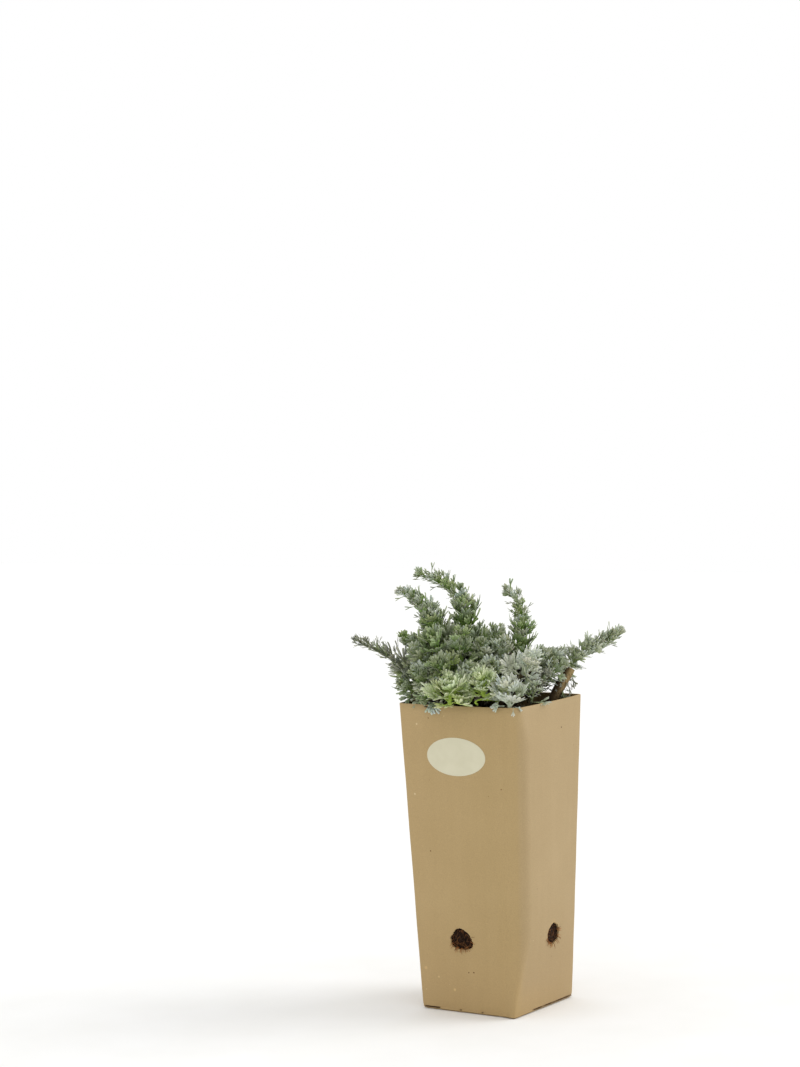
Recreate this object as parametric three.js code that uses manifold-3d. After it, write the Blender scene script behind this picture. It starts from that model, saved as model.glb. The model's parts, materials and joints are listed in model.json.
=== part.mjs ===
// A caucasian wormwood growing in a tapered square pot folded from solid board.
// Millimetres, +Z up. The origin is the centre of the pot's flat bottom, the pot's labelled side faces -Y,
// and its right-hand side faces +X.
import * as THREE from "three";
import { mergeVertices } from "three/addons/utils/BufferGeometryUtils.js";
import Module from "manifold-3d";

const wasm = await Module();
wasm.setup();

// Pot
const POT_HEIGHT = 200;
const RIM_SIDE = 88.4;
const BASE_SIDE = 73.2;
const BOARD = 1.3;
const BASE_BOARD = 2.4;
const FOLD_RADIUS = 5;
const BASE_EDGE_RADIUS = 1.8;
const FACE_BULGE = 1.4;
const BULGE_FULL_AT = 120;

// The fold towards the viewer: how far it bows out of the square, where its bow begins and eases off,
// and the faint crease beside it
const FRONT_FOLD = {
  bow: { x: 4.5, y: 7.5 },
  shareAtBase: -0.3,
  shareAtRim: 0.38,
  fullBowFrom: 60,
  easesFrom: 172,
  crease: 9,
  creaseRadius: 6,
  radius: 3,
  rimRadius: 12,
  rimRadiusFrom: 160,
};
const SECTION = { arcSteps: 2, edgeSteps: 4 };
const WALL_HEIGHTS = [20, 52, 104, 156];
const CLEARANCE = 0.35;

// Drain holes, one in each wall: its outline as shares of its width and height
const DRAIN_HEIGHT = 48.5;
const DRAIN_SIZE = { width: 17, height: 14, cut: 12 };
const DRAIN_OUTLINE = [
  [-0.49, 0.04],
  [-0.34, -0.4],
  [0.02, -0.5],
  [0.32, -0.44],
  [0.51, -0.3],
  [0.42, 0.04],
  [0.27, 0.29],
  [0.1, 0.46],
  [-0.08, 0.5],
  [-0.25, 0.4],
  [-0.36, 0.2],
];
const DRAINS = [
  { turn: 0, across: -3 },
  { turn: 90, across: 5 },
  { turn: 180, across: 2 },
  { turn: 270, across: -5 },
];

// Oval paper label on the -Y wall
const LABEL = { x: -0.4, z: 167.2, width: 43.7, height: 24.7, thickness: 0.3, gap: 0.42 };

// Soil
const SOIL_TOP = 187;
const SOIL_ROUGHNESS = 1.6;
const SOIL_CROWN = 3;
const SOIL_RINGS = [1, 0.82, 0.6, 0.36];

// The plant is described as it is seen from its front: s to the right, t towards the viewer, z up.
const PLANT_FRONT = THREE.MathUtils.degToRad(31.3);

// Woody crown and the thick bare stem at the right
const TRUNK = {
  foot: [-8, -4, 181],
  top: [-5, 0, 216],
  footRadius: 9,
  topRadius: 7,
  hump: 6,
  humpFrom: 0.42,
  sides: 10,
  steps: 6,
};
const HEART_DEPTH = 14;
const BRANCH = { radius: 1.4, sides: 4, steps: 3, straightEnd: 0.35 };
const BARE_STEM = {
  path: [
    [35, -3, 180],
    [38, -3.5, 190],
    [42, -4.5, 200],
    [47, -6, 209],
    [52.5, -8, 218],
  ],
  footRadius: 4.2,
  tipRadius: 2.6,
  sides: 8,
  steps: 5,
  carries: "shoot_east",
};
const BARE_STEM_HOLE = { widening: 1.05, shift: -0.6, sides: 10 };

// Leaves: thin cut plates, whose proportions are shares of their length
const LEAF_THICKNESS = 0.65;
const PETIOLE_HALF_WIDTH = 0.75;
const LEAF = { palm: 0.33, notch: 0.17, sideLoss: 0.14, wideSpread: 66, narrowSpread: 42 };
const STEM_SIDES = 5;
const SHOOT_STEM = { radius: 1.3, swell: 1.6, fullness: 0.7, swellLength: 1.05, taper: 0.4, steps: 9 };
const HEAD_STEM = { length: 11, radius: 1.3, swell: 2.6, fullness: 1.5, taper: 0.2, steps: 4 };
const COLLAR = 0.7;
// A collar's triangles: corners 0 to 3 are the stem quad's, from its lower left round, and 4 to 7 the leaf's.
// Both sides are split from the quad's lower corners, which keeps them clear of a steep leaf.
const COLLAR_FACES = [
  [0, 1, 5],
  [0, 5, 4],
  [1, 2, 6],
  [1, 6, 5],
  [2, 3, 7],
  [2, 7, 6],
  [3, 0, 7],
  [0, 4, 7],
];
const COLLAR_ENDS = [
  [0, 3, 2],
  [0, 2, 1],
  [4, 5, 6],
  [4, 6, 7],
];
const LEAF_GAP = 0.32;
const OWN_GAP = 0.06;
const OWN_OVERLAP = 1e-4;
const LEAF_ATTEMPTS = [
  { pitch: 1, length: 1, turn: 0 },
  { pitch: 0.85, length: 0.95, turn: 0.25 },
  { pitch: 0.85, length: 0.95, turn: -0.25 },
  { pitch: 1.15, length: 0.85, turn: 0 },
  { pitch: 0.7, length: 0.85, turn: 0 },
  { pitch: 0.5, length: 0.75, turn: 0.3 },
  { pitch: 0.5, length: 0.65, turn: -0.3 },
];
const GOLDEN_ANGLE = THREE.MathUtils.degToRad(137.5);
const SEED = 20417;

// Long shoots: points along the leafy axis, number of leaves, leaf length at the foot and at the tip
const LONG_SHOOTS = [
  {
    name: "shoot_west",
    tone: "grey",
    path: [[-50, 6, 216], [-57, 6, 221], [-64, 6, 227], [-71, 7, 235], [-80, 9, 240], [-88, 12, 245]],
    leaves: 19,
    reach: [12, 7.5],
  },
  {
    name: "shoot_northwest",
    tone: "grey",
    path: [[-26, 6, 224], [-30, 9, 238], [-34, 11, 250], [-41, 13, 260], [-50, 16, 268], [-61, 20, 277]],
    leaves: 22,
    reach: [14, 8],
  },
  {
    name: "shoot_top",
    tone: "green",
    path: [[-9, 0, 226], [-12, -2, 243], [-15, -6, 256], [-21, -9, 268], [-31, -12, 279], [-45, -15, 284]],
    leaves: 23,
    reach: [14, 8],
  },
  {
    name: "shoot_upright",
    tone: "grey",
    path: [[18, -7, 222], [20, -12, 239], [21, -16, 251], [18, -20, 263], [10, -24, 273]],
    leaves: 20,
    reach: [14, 8],
  },
  {
    name: "shoot_east",
    tone: "silver",
    path: [[53.2, -8.2, 218.6], [59, -9, 228], [66, -10, 234], [77, -11, 240], [87, -12, 245]],
    leaves: 22,
    reach: [14, 8],
  },
];

// Short shoots of the dome: the place of each head, its leaf length and its tone
const HEADS = [
  { at: [-57, -8, 219], reach: 12, tone: "grey" },
  { at: [-55, 17, 211], reach: 12, tone: "grey" },
  { at: [-54, -10, 238], reach: 12, tone: "green" },
  { at: [-47, 26, 233], reach: 12, tone: "grey" },
  { at: [-38, 25, 243], reach: 13, tone: "green" },
  { at: [-47, 38, 221], reach: 12, tone: "grey" },
  { at: [-33, 43, 226], reach: 13, tone: "lime" },
  { at: [-43, 36, 209], reach: 11, tone: "grey" },
  { at: [-27, 49, 211], reach: 14, tone: "lime" },
  { at: [-21, 30, 236], reach: 13, tone: "green" },
  { at: [-14, 46, 223], reach: 12, tone: "grey" },
  { at: [-9, 54, 211], reach: 14, tone: "lime" },
  { at: [-5, 26, 236], reach: 12, tone: "grey" },
  { at: [1, 43, 224], reach: 12, tone: "silver" },
  { at: [12, 56, 211], reach: 17, tone: "silver", lobes: 7 },
  { at: [9, 24, 236], reach: 12, tone: "silver" },
  { at: [21, 38, 226], reach: 14, tone: "silver" },
  { at: [34, 7, 231], reach: 13, tone: "silver" },
  { at: [37, 21, 217], reach: 12, tone: "grey" },
  { at: [27, 36, 209], reach: 11, tone: "silver" },
  { at: [39, -15, 230], reach: 12, tone: "grey", leaves: 4 },
  { at: [3, -3, 243], reach: 12, tone: "grey" },
  { at: [-38, -9, 243], reach: 12, tone: "green" },
  { at: [-25, -22, 239], reach: 12, tone: "grey", leaves: 4 },
  { at: [-3, -24, 238], reach: 12, tone: "green", leaves: 4 },
  { at: [20, -33, 228], reach: 12, tone: "grey", leaves: 4 },
  { at: [-44, -30, 224], reach: 12, tone: "grey", leaves: 4 },
  { at: [-28, -45, 217], reach: 13, tone: "grey", leaves: 4 },
  { at: [-5, -47, 220], reach: 13, tone: "silver", leaves: 4 },
  { at: [36, -33, 214], reach: 12, tone: "grey", leaves: 4 },
  { at: [-20, 17, 243], reach: 12, tone: "green" },
  { at: [7, 9, 244], reach: 12, tone: "grey" },
  { at: [-46, 8, 237], reach: 12, tone: "grey" },
  { at: [46, -6, 231], reach: 12, tone: "silver" },
  { at: [47, 7, 221], reach: 11, tone: "silver", leaves: 4 },
];
const HEAD_LIFT = 0.22;

// How the leaves sit: shares are along the stem, pitches are radians away from it.
const LONG_SHOOT_LEAVES = {
  shares: [0.04, 0.97],
  youngFrom: 0.75,
  wideBelow: 0.25,
  pitch: 1.05,
  youngPitch: 0.4,
  curl: 0.5,
  cup: 1.2,
};
const OUTER_HEAD_LEAVES = {
  count: 5,
  firstShare: 0.58,
  shareStep: 0.06,
  pitches: [1.2, 0.85],
  curl: 0.7,
  cup: 1.1,
};
const INNER_HEAD_LEAVES = { count: 2, share: 0.86, turn: 1, pitch: 0.45, size: 0.6, curl: 0.4, cup: 1.5 };
const LOBES = { narrow: 3, wide: 5 };
const VARIATION = { angle: 0.4, pitch: 0.2, length: 0.2, headLength: 0.15 };

const TONES = {
  silver: new THREE.Color(0xa3ab95),
  grey: new THREE.Color(0x838c72),
  green: new THREE.Color(0x6f7f55),
  lime: new THREE.Color(0x93a06a),
};

function seededRandom(seed) {
  let state = seed >>> 0;
  return () => {
    state = (state + 0x6d2b79f5) >>> 0;
    let mixed = Math.imul(state ^ (state >>> 15), state | 1);
    mixed ^= mixed + Math.imul(mixed ^ (mixed >>> 7), mixed | 61);
    return ((mixed ^ (mixed >>> 14)) >>> 0) / 4294967296;
  };
}

// Solids from closed geometries, and back to geometries
function toSolid(geometry) {
  const bare = geometry.clone();
  bare.deleteAttribute("normal");
  bare.deleteAttribute("uv");
  const merged = mergeVertices(bare, 1e-4);
  return new wasm.Manifold(
    new wasm.Mesh({
      numProp: 3,
      vertProperties: merged.attributes.position.array,
      triVerts: new Uint32Array(merged.index.array),
    }),
  );
}

function toGeometry(solid) {
  const mesh = solid.getMesh();
  const geometry = new THREE.BufferGeometry();
  geometry.setAttribute("position", new THREE.BufferAttribute(mesh.vertProperties, 3));
  geometry.setIndex(new THREE.BufferAttribute(mesh.triVerts, 1));
  return geometry;
}

// Joins rings of equally many points into one closed skin, with a fan over each end.
// A quad whose key is in open is left out, for a leaf to grow from.
function loftFaces(rings, open = new Set()) {
  const count = rings[0].length;
  const points = rings.flat();
  const faces = [];
  for (let r = 0; r + 1 < rings.length; r++) {
    for (let j = 0; j < count; j++) {
      if (open.has(r * count + j)) {
        continue;
      }
      const [a, b, c, d] = quadCorners(r, j, count);
      faces.push(a, b, c, a, c, d);
    }
  }
  const middleOf = (ring) =>
    ring.reduce((sum, point) => sum.add(point), new THREE.Vector3()).divideScalar(count);
  const firstMiddle = points.length;
  const lastMiddle = firstMiddle + 1;
  const lastRow = (rings.length - 1) * count;
  points.push(middleOf(rings[0]), middleOf(rings[rings.length - 1]));
  for (let j = 0; j < count; j++) {
    const next = (j + 1) % count;
    faces.push(firstMiddle, next, j);
    faces.push(lastMiddle, lastRow + j, lastRow + next);
  }
  return { points, faces };
}

// A quad's corners in the skin: lower left, lower right, upper right, upper left, seen from outside
function quadCorners(row, column, count) {
  const next = (column + 1) % count;
  const start = row * count;
  return [start + column, start + next, start + count + next, start + count + column];
}

function skinGeometry({ points, faces }) {
  const geometry = new THREE.BufferGeometry().setFromPoints(points);
  geometry.setIndex(faces);
  return geometry;
}

const loft = (rings) => skinGeometry(loftFaces(rings));

// The pot's section. Its front fold bows out of line between rim and base, past a faint crease.
const halfSideAt = (z) => THREE.MathUtils.lerp(BASE_SIDE, RIM_SIDE, z / POT_HEIGHT) / 2;
const bulgeAt = (z) => FACE_BULGE * THREE.MathUtils.smoothstep(z, 0, BULGE_FULL_AT);

// Full in a side's middle, and none at its ends, -1 and 1
const bulgeShare = (across) => Math.max(0, 1 - across ** 2) ** 2;

function frontBowAt(z) {
  const rise = THREE.MathUtils.smoothstep(z, 0, FRONT_FOLD.fullBowFrom);
  const ease = THREE.MathUtils.smoothstep(z, FRONT_FOLD.easesFrom, POT_HEIGHT);
  const upperShare = THREE.MathUtils.lerp(1, FRONT_FOLD.shareAtRim, ease);
  return THREE.MathUtils.lerp(FRONT_FOLD.shareAtBase, upperShare, rise);
}

function potSection(z, inset = 0) {
  const half = halfSideAt(z);
  const bow = frontBowAt(z);
  const rimShare = THREE.MathUtils.smoothstep(z, FRONT_FOLD.rimRadiusFrom, POT_HEIGHT);
  const frontRadius = THREE.MathUtils.lerp(FRONT_FOLD.radius, FRONT_FOLD.rimRadius, rimShare);
  const front = { x: half + FRONT_FOLD.bow.x * bow, y: -half + FRONT_FOLD.bow.y * bow };
  const corners = [
    { x: -half, y: -half, radius: FOLD_RADIUS },
    { x: half - FRONT_FOLD.crease, y: -half, radius: FRONT_FOLD.creaseRadius },
    { ...front, radius: frontRadius },
    { x: half, y: half, radius: FOLD_RADIUS },
    { x: -half, y: half, radius: FOLD_RADIUS },
  ];
  const bulge = bulgeAt(z);
  const outline = roundedOutline(insetCorners(corners, inset));
  return outline.map((point) => bulged(point, half, bulge)).map(({ x, y }) => new THREE.Vector3(x, y, z));
}

// Moves every side inwards, so that its corners slide along their mitres.
function insetCorners(corners, inset) {
  const inwards = corners.map((corner, i) => {
    const next = corners[(i + 1) % corners.length];
    return new THREE.Vector2(corner.y - next.y, next.x - corner.x).normalize();
  });
  return corners.map((corner, i) => {
    const before = inwards[(i + corners.length - 1) % corners.length];
    const after = inwards[i];
    const reach = inset / (1 + before.dot(after));
    return {
      x: corner.x + (before.x + after.x) * reach,
      y: corner.y + (before.y + after.y) * reach,
      radius: corner.radius,
    };
  });
}

// The corners joined by straight edges, each rounded off by its own radius
function roundedOutline(corners) {
  const points = [];
  const vectors = corners.map((corner) => new THREE.Vector2(corner.x, corner.y));
  const entries = corners.map((corner, i) => {
    const here = vectors[i];
    const before = vectors[(i + corners.length - 1) % corners.length].clone().sub(here);
    const after = vectors[(i + 1) % corners.length].clone().sub(here);
    const reach = Math.min(corner.radius, before.length() * 0.45, after.length() * 0.45);
    return {
      start: here.clone().addScaledVector(before.normalize(), reach),
      end: here.clone().addScaledVector(after.normalize(), reach),
    };
  });
  corners.forEach((corner, i) => {
    const arc = new THREE.QuadraticBezierCurve(entries[i].start, vectors[i], entries[i].end);
    points.push(...arc.getPoints(SECTION.arcSteps));
    const following = entries[(i + 1) % corners.length].start;
    for (let k = 1; k < SECTION.edgeSteps; k++) {
      points.push(entries[i].end.clone().lerp(following, k / SECTION.edgeSteps));
    }
  });
  return points;
}

// Pushes a side's middle outwards, as the soil behind it does.
function bulged(point, half, bulge) {
  const acrossX = point.x / half;
  const acrossY = point.y / half;
  if (Math.abs(acrossY) > Math.abs(acrossX)) {
    return new THREE.Vector2(point.x, point.y + Math.sign(point.y) * bulge * bulgeShare(acrossX));
  }
  return new THREE.Vector2(point.x + Math.sign(point.x) * bulge * bulgeShare(acrossY), point.y);
}

function makePot() {
  const rings = [potSection(0, BASE_EDGE_RADIUS)];
  rings.push(potSection(BASE_EDGE_RADIUS * 0.3, BASE_EDGE_RADIUS * 0.3));
  const outerHeights = [BASE_EDGE_RADIUS, ...WALL_HEIGHTS, SOIL_TOP, POT_HEIGHT];
  outerHeights.forEach((z) => rings.push(potSection(z)));
  const innerHeights = [POT_HEIGHT, SOIL_TOP, ...WALL_HEIGHTS.slice().reverse(), BASE_BOARD];
  innerHeights.forEach((z) => rings.push(potSection(z, BOARD)));
  let pot = toSolid(loft(rings));
  for (const drain of DRAINS) {
    pot = pot.subtract(drainCutter(drain));
  }
  return pot;
}

// A prism with the drain hole's ragged outline, through one wall only
function drainCutter(drain) {
  const shape = new THREE.Shape(
    DRAIN_OUTLINE.map(([x, y]) => new THREE.Vector2(x * DRAIN_SIZE.width, y * DRAIN_SIZE.height)),
  );
  const geometry = new THREE.ExtrudeGeometry(shape, { depth: DRAIN_SIZE.cut, bevelEnabled: false });
  geometry.rotateX(Math.PI / 2);
  geometry.translate(drain.across, DRAIN_SIZE.cut / 2 - halfSideAt(DRAIN_HEIGHT), DRAIN_HEIGHT);
  geometry.rotateZ(THREE.MathUtils.degToRad(drain.turn));
  return toSolid(geometry);
}

function makeLabel() {
  const geometry = new THREE.CylinderGeometry(0.5, 0.5, LABEL.thickness, 32, 1);
  const position = geometry.attributes.position;
  const place = new THREE.Vector3();
  for (let i = 0; i < position.count; i++) {
    place.fromBufferAttribute(position, i);
    const x = LABEL.x + place.x * LABEL.width;
    const z = LABEL.z - place.z * LABEL.height;
    const lift = LABEL.gap + place.y + LABEL.thickness / 2;
    position.setXYZ(i, x, leftWallAt(x, z) - lift, z);
  }
  return toSolid(geometry);
}

function leftWallAt(x, z) {
  const half = halfSideAt(z);
  return -half - bulgeAt(z) * bulgeShare(x / half);
}

function makeSoil(random, roots) {
  const inset = BOARD + CLEARANCE;
  const bottom = BASE_BOARD + CLEARANCE;
  const rings = [bottom, ...WALL_HEIGHTS].map((z) => potSection(z, inset));
  for (const share of SOIL_RINGS) {
    const ring = potSection(SOIL_TOP, inset).map((point) => {
      const lift = share < 1 ? SOIL_ROUGHNESS * (2 * random() - 1) + SOIL_CROWN * (1 - share) : 0;
      return new THREE.Vector3(point.x * share, point.y * share, point.z + lift);
    });
    rings.push(ring);
  }
  return roots.reduce((soil, root) => soil.subtract(root), toSolid(loft(rings)));
}

// Points and directions of the plant, from its front view to the pot's own axes
function seen([s, t, z]) {
  const cos = Math.cos(PLANT_FRONT);
  const sin = Math.sin(PLANT_FRONT);
  return new THREE.Vector3(s * cos + t * sin, s * sin - t * cos, z);
}

// Rings of a round stem along a curve, whose radius follows radiusAt(share of the length)
function stemRings(curve, radiusAt, sides, steps) {
  const frames = curve.computeFrenetFrames(steps, false);
  const rings = [];
  for (let i = 0; i <= steps; i++) {
    const centre = curve.getPointAt(i / steps);
    const radius = radiusAt(i / steps);
    const ring = [];
    for (let j = 0; j < sides; j++) {
      const angle = (2 * Math.PI * j) / sides;
      ring.push(
        centre
          .clone()
          .addScaledVector(frames.normals[i], radius * Math.cos(angle))
          .addScaledVector(frames.binormals[i], radius * Math.sin(angle)),
      );
    }
    rings.push(ring);
  }
  return rings;
}

const stemSolid = (curve, radiusAt, sides, steps) => toSolid(loft(stemRings(curve, radiusAt, sides, steps)));

// A palmate leaf in its own plane: a petiole that opens into pointed lobes
function leafOutline(lobes, length) {
  const palm = length * LEAF.palm;
  const spread = THREE.MathUtils.degToRad(lobes > 3 ? LEAF.wideSpread : LEAF.narrowSpread);
  const points = [new THREE.Vector2(PETIOLE_HALF_WIDTH, 0)];
  const fanPoint = (angle, reach) =>
    new THREE.Vector2(reach * Math.sin(angle), palm + reach * Math.cos(angle));
  for (let i = 0; i < lobes; i++) {
    const angle = spread * (1 - (2 * i) / (lobes - 1));
    points.push(fanPoint(angle, length * (1 - LEAF.palm - LEAF.sideLoss * Math.abs(angle))));
    if (i + 1 < lobes) {
      points.push(fanPoint(angle - spread / (lobes - 1), length * LEAF.notch));
    }
  }
  points.push(new THREE.Vector2(-PETIOLE_HALF_WIDTH, 0));
  return points;
}

// The two faces of a leaf, bent along its length and cupped across, in the directions it grows in.
function leafPlate({ root, axis, outward, pitch, length, lobes, curl, cup }) {
  const along = axis.clone().multiplyScalar(Math.cos(pitch)).addScaledVector(outward, Math.sin(pitch));
  const upper = axis.clone().multiplyScalar(Math.sin(pitch)).addScaledVector(outward, -Math.cos(pitch));
  const across = along.clone().cross(upper);
  const outline = leafOutline(lobes, length);
  const place = (point, depth) => {
    const turn = (curl * point.y) / length;
    const lift = point.y * Math.sin(turn / 2) + (cup * point.x ** 2) / length + depth;
    return root
      .clone()
      .addScaledVector(along, point.y * Math.cos(turn / 2))
      .addScaledVector(upper, lift)
      .addScaledVector(across, point.x);
  };
  return {
    top: outline.map((point) => place(point, LEAF_THICKNESS / 2)),
    bottom: outline.map((point) => place(point, -LEAF_THICKNESS / 2)),
    triangles: THREE.ShapeUtils.triangulateShape(outline, []),
  };
}

// Adds a leaf's faces to a skin. Its root edge stays open, and the root's four corners are given back.
function addPlate(skin, plate) {
  const top = skin.points.length;
  const count = plate.top.length;
  const bottom = top + count;
  skin.points.push(...plate.top, ...plate.bottom);
  for (const [a, b, c] of plate.triangles) {
    skin.faces.push(top + a, top + b, top + c, bottom + c, bottom + b, bottom + a);
  }
  for (let k = 0; k + 1 < count; k++) {
    skin.faces.push(bottom + k, bottom + k + 1, top + k + 1, bottom + k, top + k + 1, top + k);
  }
  return [bottom, bottom + count - 1, top + count - 1, top];
}

function plateSolid(plate) {
  const skin = { points: [], faces: [] };
  const [a, b, c, d] = addPlate(skin, plate);
  skin.faces.push(a, d, c, a, c, b);
  return toSolid(skinGeometry(skin));
}

function collarSolid(quad, plate) {
  const last = plate.top.length - 1;
  const points = [...quad, plate.bottom[0], plate.bottom[last], plate.top[last], plate.top[0]];
  return toSolid(skinGeometry({ points, faces: [...COLLAR_FACES, ...COLLAR_ENDS].flat() }));
}

// A shoot's leaves grow out of quads of its stem's skin, each joined to its quad by a short collar.
function shootGeometry(shoot) {
  const skin = loftFaces(shoot.rings, new Set(shoot.leaves.map((leaf) => leaf.quad)));
  for (const leaf of shoot.leaves) {
    const count = shoot.rings[0].length;
    const stemLoop = quadCorners(Math.floor(leaf.quad / count), leaf.quad % count, count);
    const corners = [...stemLoop, ...addPlate(skin, leaf.plate)];
    skin.faces.push(...COLLAR_FACES.flat().map((corner) => corners[corner]));
  }
  return skinGeometry(skin);
}

function withBox(solid) {
  return { solid, box: solid.boundingBox() };
}

function boxesMeet(a, b, gap) {
  return [0, 1, 2].every((k) => a.min[k] - gap < b.max[k] && b.min[k] - gap < a.max[k]);
}

function isClear(candidate, obstacles, gap) {
  return obstacles.every(
    (obstacle) =>
      !boxesMeet(candidate.box, obstacle.box, gap) ||
      candidate.solid.minGap(obstacle.solid, 2 * gap) > gap,
  );
}

// The free quad of the stem's skin nearest to the leaf's planned place, with the frame there
function leafSeat(shoot, leaf) {
  const sides = shoot.rings[0].length;
  const steps = shoot.rings.length - 1;
  const row = Math.min(steps - 1, Math.floor(leaf.share * steps));
  const firstColumn = Math.floor((leaf.angle / (2 * Math.PI)) * sides);
  for (let k = 0; k < sides; k++) {
    const column = (((firstColumn + k) % sides) + sides) % sides;
    const quad = row * sides + column;
    if (shoot.leaves.some((other) => other.quad === quad)) {
      continue;
    }
    const points = shoot.rings.flat();
    const corners = quadCorners(row, column, sides).map((at) => points[at]);
    const middle = corners.reduce((sum, point) => sum.add(point), new THREE.Vector3()).divideScalar(4);
    const axis = shoot.curve.getTangentAt((row + 0.5) / steps);
    const outward = middle.clone().sub(shoot.curve.getPointAt((row + 0.5) / steps));
    outward.addScaledVector(axis, -outward.dot(axis)).normalize();
    return { quad, corners, middle, axis, outward };
  }
  return null;
}

// Tries the leaf as planned, then folded up towards its stem and smaller, and leaves it out if none is clear.
function growLeaf(shoot, leaf, obstacles) {
  const seat = leafSeat(shoot, leaf);
  if (!seat) {
    return;
  }
  for (const attempt of LEAF_ATTEMPTS) {
    const outward = seat.outward.clone().applyAxisAngle(seat.axis, attempt.turn);
    const plate = leafPlate({
      root: seat.middle.clone().addScaledVector(seat.outward, COLLAR),
      axis: seat.axis,
      outward,
      pitch: leaf.pitch * attempt.pitch,
      length: leaf.length * attempt.length,
      lobes: leaf.lobes,
      curl: leaf.curl,
      cup: leaf.cup,
    });
    const blade = withBox(plateSolid(plate));
    const collar = withBox(collarSolid(seat.corners, plate));
    const ownBlades = shoot.leaves.map((other) => other.blade);
    const ownCollars = shoot.leaves.map((other) => other.collar);
    const clearOfOthers = isClear(blade, obstacles, LEAF_GAP) && isClear(collar, obstacles, LEAF_GAP);
    const bladeClear = isClear(blade, [shoot.stem, ...ownBlades, ...ownCollars], OWN_GAP);
    const collarClear = isClear(collar, ownBlades, OWN_GAP);
    const unfolded = blade.solid.intersect(collar.solid).volume() < OWN_OVERLAP;
    if (clearOfOthers && bladeClear && collarClear && unfolded) {
      shoot.leaves.push({ quad: seat.quad, plate, blade, collar });
      return;
    }
  }
}

function makeShoot(name, tone, curve, plan, radiusAt, steps) {
  const rings = stemRings(curve, radiusAt, STEM_SIDES, steps);
  return { name, tone, curve, plan, rings, stem: withBox(toSolid(loft(rings))), leaves: [] };
}

function longShootPlan(shoot, random) {
  const rule = LONG_SHOOT_LEAVES;
  const plan = [];
  for (let i = 0; i < shoot.leaves; i++) {
    const share = THREE.MathUtils.lerp(...rule.shares, i / (shoot.leaves - 1));
    const young = THREE.MathUtils.smoothstep(share, rule.youngFrom, 1);
    const angle = GOLDEN_ANGLE * i + VARIATION.angle * random();
    const pitch = THREE.MathUtils.lerp(rule.pitch, rule.youngPitch, young);
    const length = THREE.MathUtils.lerp(...shoot.reach, share);
    plan.push({
      share,
      angle,
      pitch: pitch + VARIATION.pitch * (random() - 0.5),
      length: length * (1 + VARIATION.length * (random() - 0.5)),
      lobes: share < rule.wideBelow ? LOBES.wide : LOBES.narrow,
      curl: rule.curl,
      cup: rule.cup,
    });
  }
  return plan;
}

function headPlan(head, random) {
  const start = 2 * Math.PI * random();
  return [...outerHeadLeaves(head, start, random), ...innerHeadLeaves(head, start)];
}

function outerHeadLeaves(head, start, random) {
  const rule = OUTER_HEAD_LEAVES;
  const count = head.leaves ?? rule.count;
  const plan = [];
  for (let i = 0; i < count; i++) {
    plan.push({
      share: rule.firstShare + rule.shareStep * i,
      angle: start + (2 * Math.PI * i) / count,
      pitch: rule.pitches[i % 2] + VARIATION.pitch * random(),
      length: head.reach * (1 + VARIATION.headLength * (random() - 0.33)),
      lobes: head.lobes ?? LOBES.wide,
      curl: rule.curl,
      cup: rule.cup,
    });
  }
  return plan;
}

function innerHeadLeaves(head, start) {
  const rule = INNER_HEAD_LEAVES;
  const plan = [];
  for (let i = 0; i < rule.count; i++) {
    plan.push({
      share: rule.share,
      angle: start + rule.turn + (2 * Math.PI * i) / rule.count,
      pitch: rule.pitch,
      length: head.reach * rule.size,
      lobes: LOBES.narrow,
      curl: rule.curl,
      cup: rule.cup,
    });
  }
  return plan;
}

function longShootRadius(share) {
  const { radius, swell, fullness, swellLength, taper } = SHOOT_STEM;
  return radius + swell * Math.sin(Math.PI * Math.min(1, share * swellLength)) ** fullness - taper * share;
}

function headRadius(share) {
  const { radius, swell, fullness, taper } = HEAD_STEM;
  return radius + swell * Math.sin(Math.PI * share ** 1.2) ** fullness - taper * share;
}

// The place inside the crown that every branch sets out from
const crownHeart = () => seen(TRUNK.top).add(new THREE.Vector3(0, 0, -HEART_DEPTH));

function headAxis(head) {
  const tip = seen(head.at);
  const direction = tip.clone().sub(crownHeart()).normalize();
  direction.z += HEAD_LIFT;
  const start = tip.clone().addScaledVector(direction.normalize(), -HEAD_STEM.length);
  return new THREE.LineCurve3(start, tip);
}

function makeShoots(random) {
  const longShoots = LONG_SHOOTS.map((row) => {
    const axis = new THREE.CatmullRomCurve3(row.path.map(seen));
    return makeShoot(row.name, row.tone, axis, longShootPlan(row, random), longShootRadius, SHOOT_STEM.steps);
  });
  const heads = HEADS.map((head, i) => {
    const name = "rosette_" + String(i + 1).padStart(2, "0");
    return makeShoot(name, head.tone, headAxis(head), headPlan(head, random), headRadius, HEAD_STEM.steps);
  });
  return [...longShoots, ...heads];
}

// The crown: a stump whose branches end just short of the shoots they carry
function makeCrown(shoots) {
  const trunkCurve = new THREE.LineCurve3(seen(TRUNK.foot), seen(TRUNK.top));
  const trunkRadius = (share) => {
    const above = THREE.MathUtils.clamp((share - TRUNK.humpFrom) / (1 - TRUNK.humpFrom), 0, 1);
    const hump = TRUNK.hump * Math.sin(Math.PI * above);
    return THREE.MathUtils.lerp(TRUNK.footRadius, TRUNK.topRadius, share) + hump;
  };
  const pieces = [stemSolid(trunkCurve, trunkRadius, TRUNK.sides, TRUNK.steps)];
  for (const shoot of shoots.filter((each) => each.name !== BARE_STEM.carries)) {
    const steps = shoot.curve.isLineCurve3 ? 1 : BRANCH.steps;
    pieces.push(stemSolid(branchCurve(shoot), () => BRANCH.radius, BRANCH.sides, steps));
  }
  return wasm.Manifold.union(pieces);
}

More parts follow.
